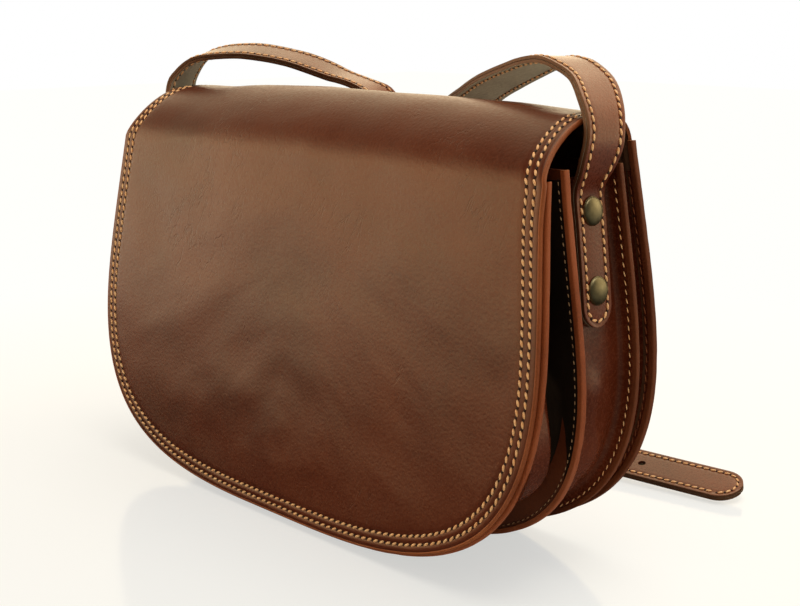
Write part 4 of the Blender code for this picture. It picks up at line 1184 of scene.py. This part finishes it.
# white paper behind, a tall soft window low at the left in front, and the dark of the room between
studio = {"paper": (-0.3, 0.95, 0.0), "paperTo": 0.95, "paperLow": 0.06, "paperHigh": 2.5,
          "window": (-0.62, -0.79, 0.0), "windowFrom": 0.5, "windowTo": 0.96, "windowHigh": 3.0,
          "windowFoot": 0.1, "windowHead": 0.95, "mirrorTint": "#ffe8c0",
          "day": (0.45, 0.8, 0.3), "dayFrom": -0.4, "dayTo": 0.9, "dayLow": 0.1, "dayHigh": 0.85}
world = bpy.data.worlds.new("studio")
bpy.context.scene.world = world
world.use_nodes = True
sky = world.node_tree
background = sky.nodes["Background"].inputs
rays = addNode(sky, "ShaderNodeLightPath").outputs
where = addNode(sky, "ShaderNodeTexCoord").outputs["Generated"]
behind = addNode(sky, "ShaderNodeVectorMath", {"operation": "DOT_PRODUCT"}, i0=where, i1=studio["paper"])
paper = addNode(sky, "ShaderNodeMapRange", i0=behind.outputs["Value"], i1=0.0, i2=studio["paperTo"],
                i3=studio["paperLow"], i4=studio["paperHigh"])
facing = addNode(sky, "ShaderNodeVectorMath", {"operation": "DOT_PRODUCT"}, i0=where, i1=studio["window"])
wide = addNode(sky, "ShaderNodeMapRange", {"interpolation_type": "SMOOTHSTEP"}, i0=facing.outputs["Value"],
               i1=studio["windowFrom"], i2=studio["windowTo"], i3=0.0, i4=studio["windowHigh"])
upward = addNode(sky, "ShaderNodeSeparateXYZ", i0=where)
tall = addNode(sky, "ShaderNodeMapRange", {"interpolation_type": "SMOOTHSTEP"}, i0=upward.outputs["Z"],
               i1=studio["windowFoot"], i2=studio["windowHead"], i3=1.0, i4=0.0)
window = addNode(sky, "ShaderNodeMath", {"operation": "MULTIPLY"}, i0=wide, i1=tall)
bright = addNode(sky, "ShaderNodeMath", {"operation": "MAXIMUM"}, i0=paper, i1=window)
# soft daylight from behind and the right, weak in front
toward = addNode(sky, "ShaderNodeVectorMath", {"operation": "DOT_PRODUCT"}, i0=where, i1=studio["day"])
daylight = addNode(sky, "ShaderNodeMapRange", i0=toward.outputs["Value"], i1=studio["dayFrom"],
                   i2=studio["dayTo"], i3=studio["dayLow"], i4=studio["dayHigh"])
mirrored = addNode(sky, "ShaderNodeMix", i0=rays["Is Glossy Ray"], i2=daylight, i3=bright)
# the camera sees plain white, also through a see-through piece
seen = addNode(sky, "ShaderNodeMath", {"operation": "MAXIMUM"}, i0=rays["Is Camera Ray"],
               i1=rays["Is Transmission Ray"])
strength = addNode(sky, "ShaderNodeMix", i0=seen, i2=mirrored, i3=1.0)
tint = addNode(sky, "ShaderNodeMix", {"data_type": "RGBA"}, i0=rays["Is Glossy Ray"], i6=(1, 1, 1, 1),
               i7=hexColor(studio["mirrorTint"]))
sky.links.new(tint.outputs[2], background["Color"])
sky.links.new(strength.outputs[0], background["Strength"])


def softbox(name, place, target, size, power, mirrored=True):
    lamp = bpy.data.lights.new(name, "AREA")
    lamp.shape = "RECTANGLE"
    lamp.size, lamp.size_y = size
    lamp.energy = power
    lamp.color = hexColor("#fff6e6")[:3]
    obj = bpy.data.objects.new(name, lamp)
    obj.location = place
    obj.rotation_euler = (Vector(target) - Vector(place)).to_track_quat("-Z", "Y").to_euler()
    obj.visible_glossy = mirrored
    bpy.context.scene.collection.objects.link(obj)


softbox("left window", (-1.0, -1.05, 0.42), (0, 0, 0.12), (1.5, 0.85), 5.0, mirrored=False)
softbox("top softbox", (0.25, 0.05, 1.2), (0.05, 0, 0.05), (1.0, 0.8), 8.0)
print("stage set")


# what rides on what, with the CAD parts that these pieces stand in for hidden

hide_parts("flap_outer", "back_panel")
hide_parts("flap_lining")
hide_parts("right_strap_end", "short_strap")
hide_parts("right_strap_end_lining", "short_strap_lining")
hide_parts("left_strap_end", "long_strap")
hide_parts("left_strap_end_lining", "long_strap_lining")
for piece in (flapAndBack, flapLining, flapEdge, flapStitches):
    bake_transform(piece)
for piece in (rightStrap, rightFlesh, leftStrap, leftFlesh, rightStitches, leftStitches):
    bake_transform(piece)
fixedPieces = {"front_panel": frontWallHide, "front_divider": frontDividerHide,
               "rear_divider": rearDividerHide, "front_gusset": frontGussetHide,
               "middle_gusset": middleGussetHide, "rear_gusset": rearGussetHide, "front_binding": frontBand,
               "front_divider_binding": frontDividerBand, "rear_divider_binding": rearDividerBand,
               "back_binding": backBand, **rivetPieces}
for node, piece in fixedPieces.items():
    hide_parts(node)
    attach(piece, "bag")
for row in bindingRows:
    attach(row, "bag")
# the solids that stay as they are get a finish alone
nodeFinish = {"strap_keeper": strapHide, "buckle_chape": strapHide, "snap_socket": paleSteel,
              "snap_stud": paleSteel}
for node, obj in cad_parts.items():
    obj.data.materials.clear()
    obj.data.materials.append(nodeFinish.get(node, antiqueBrass))
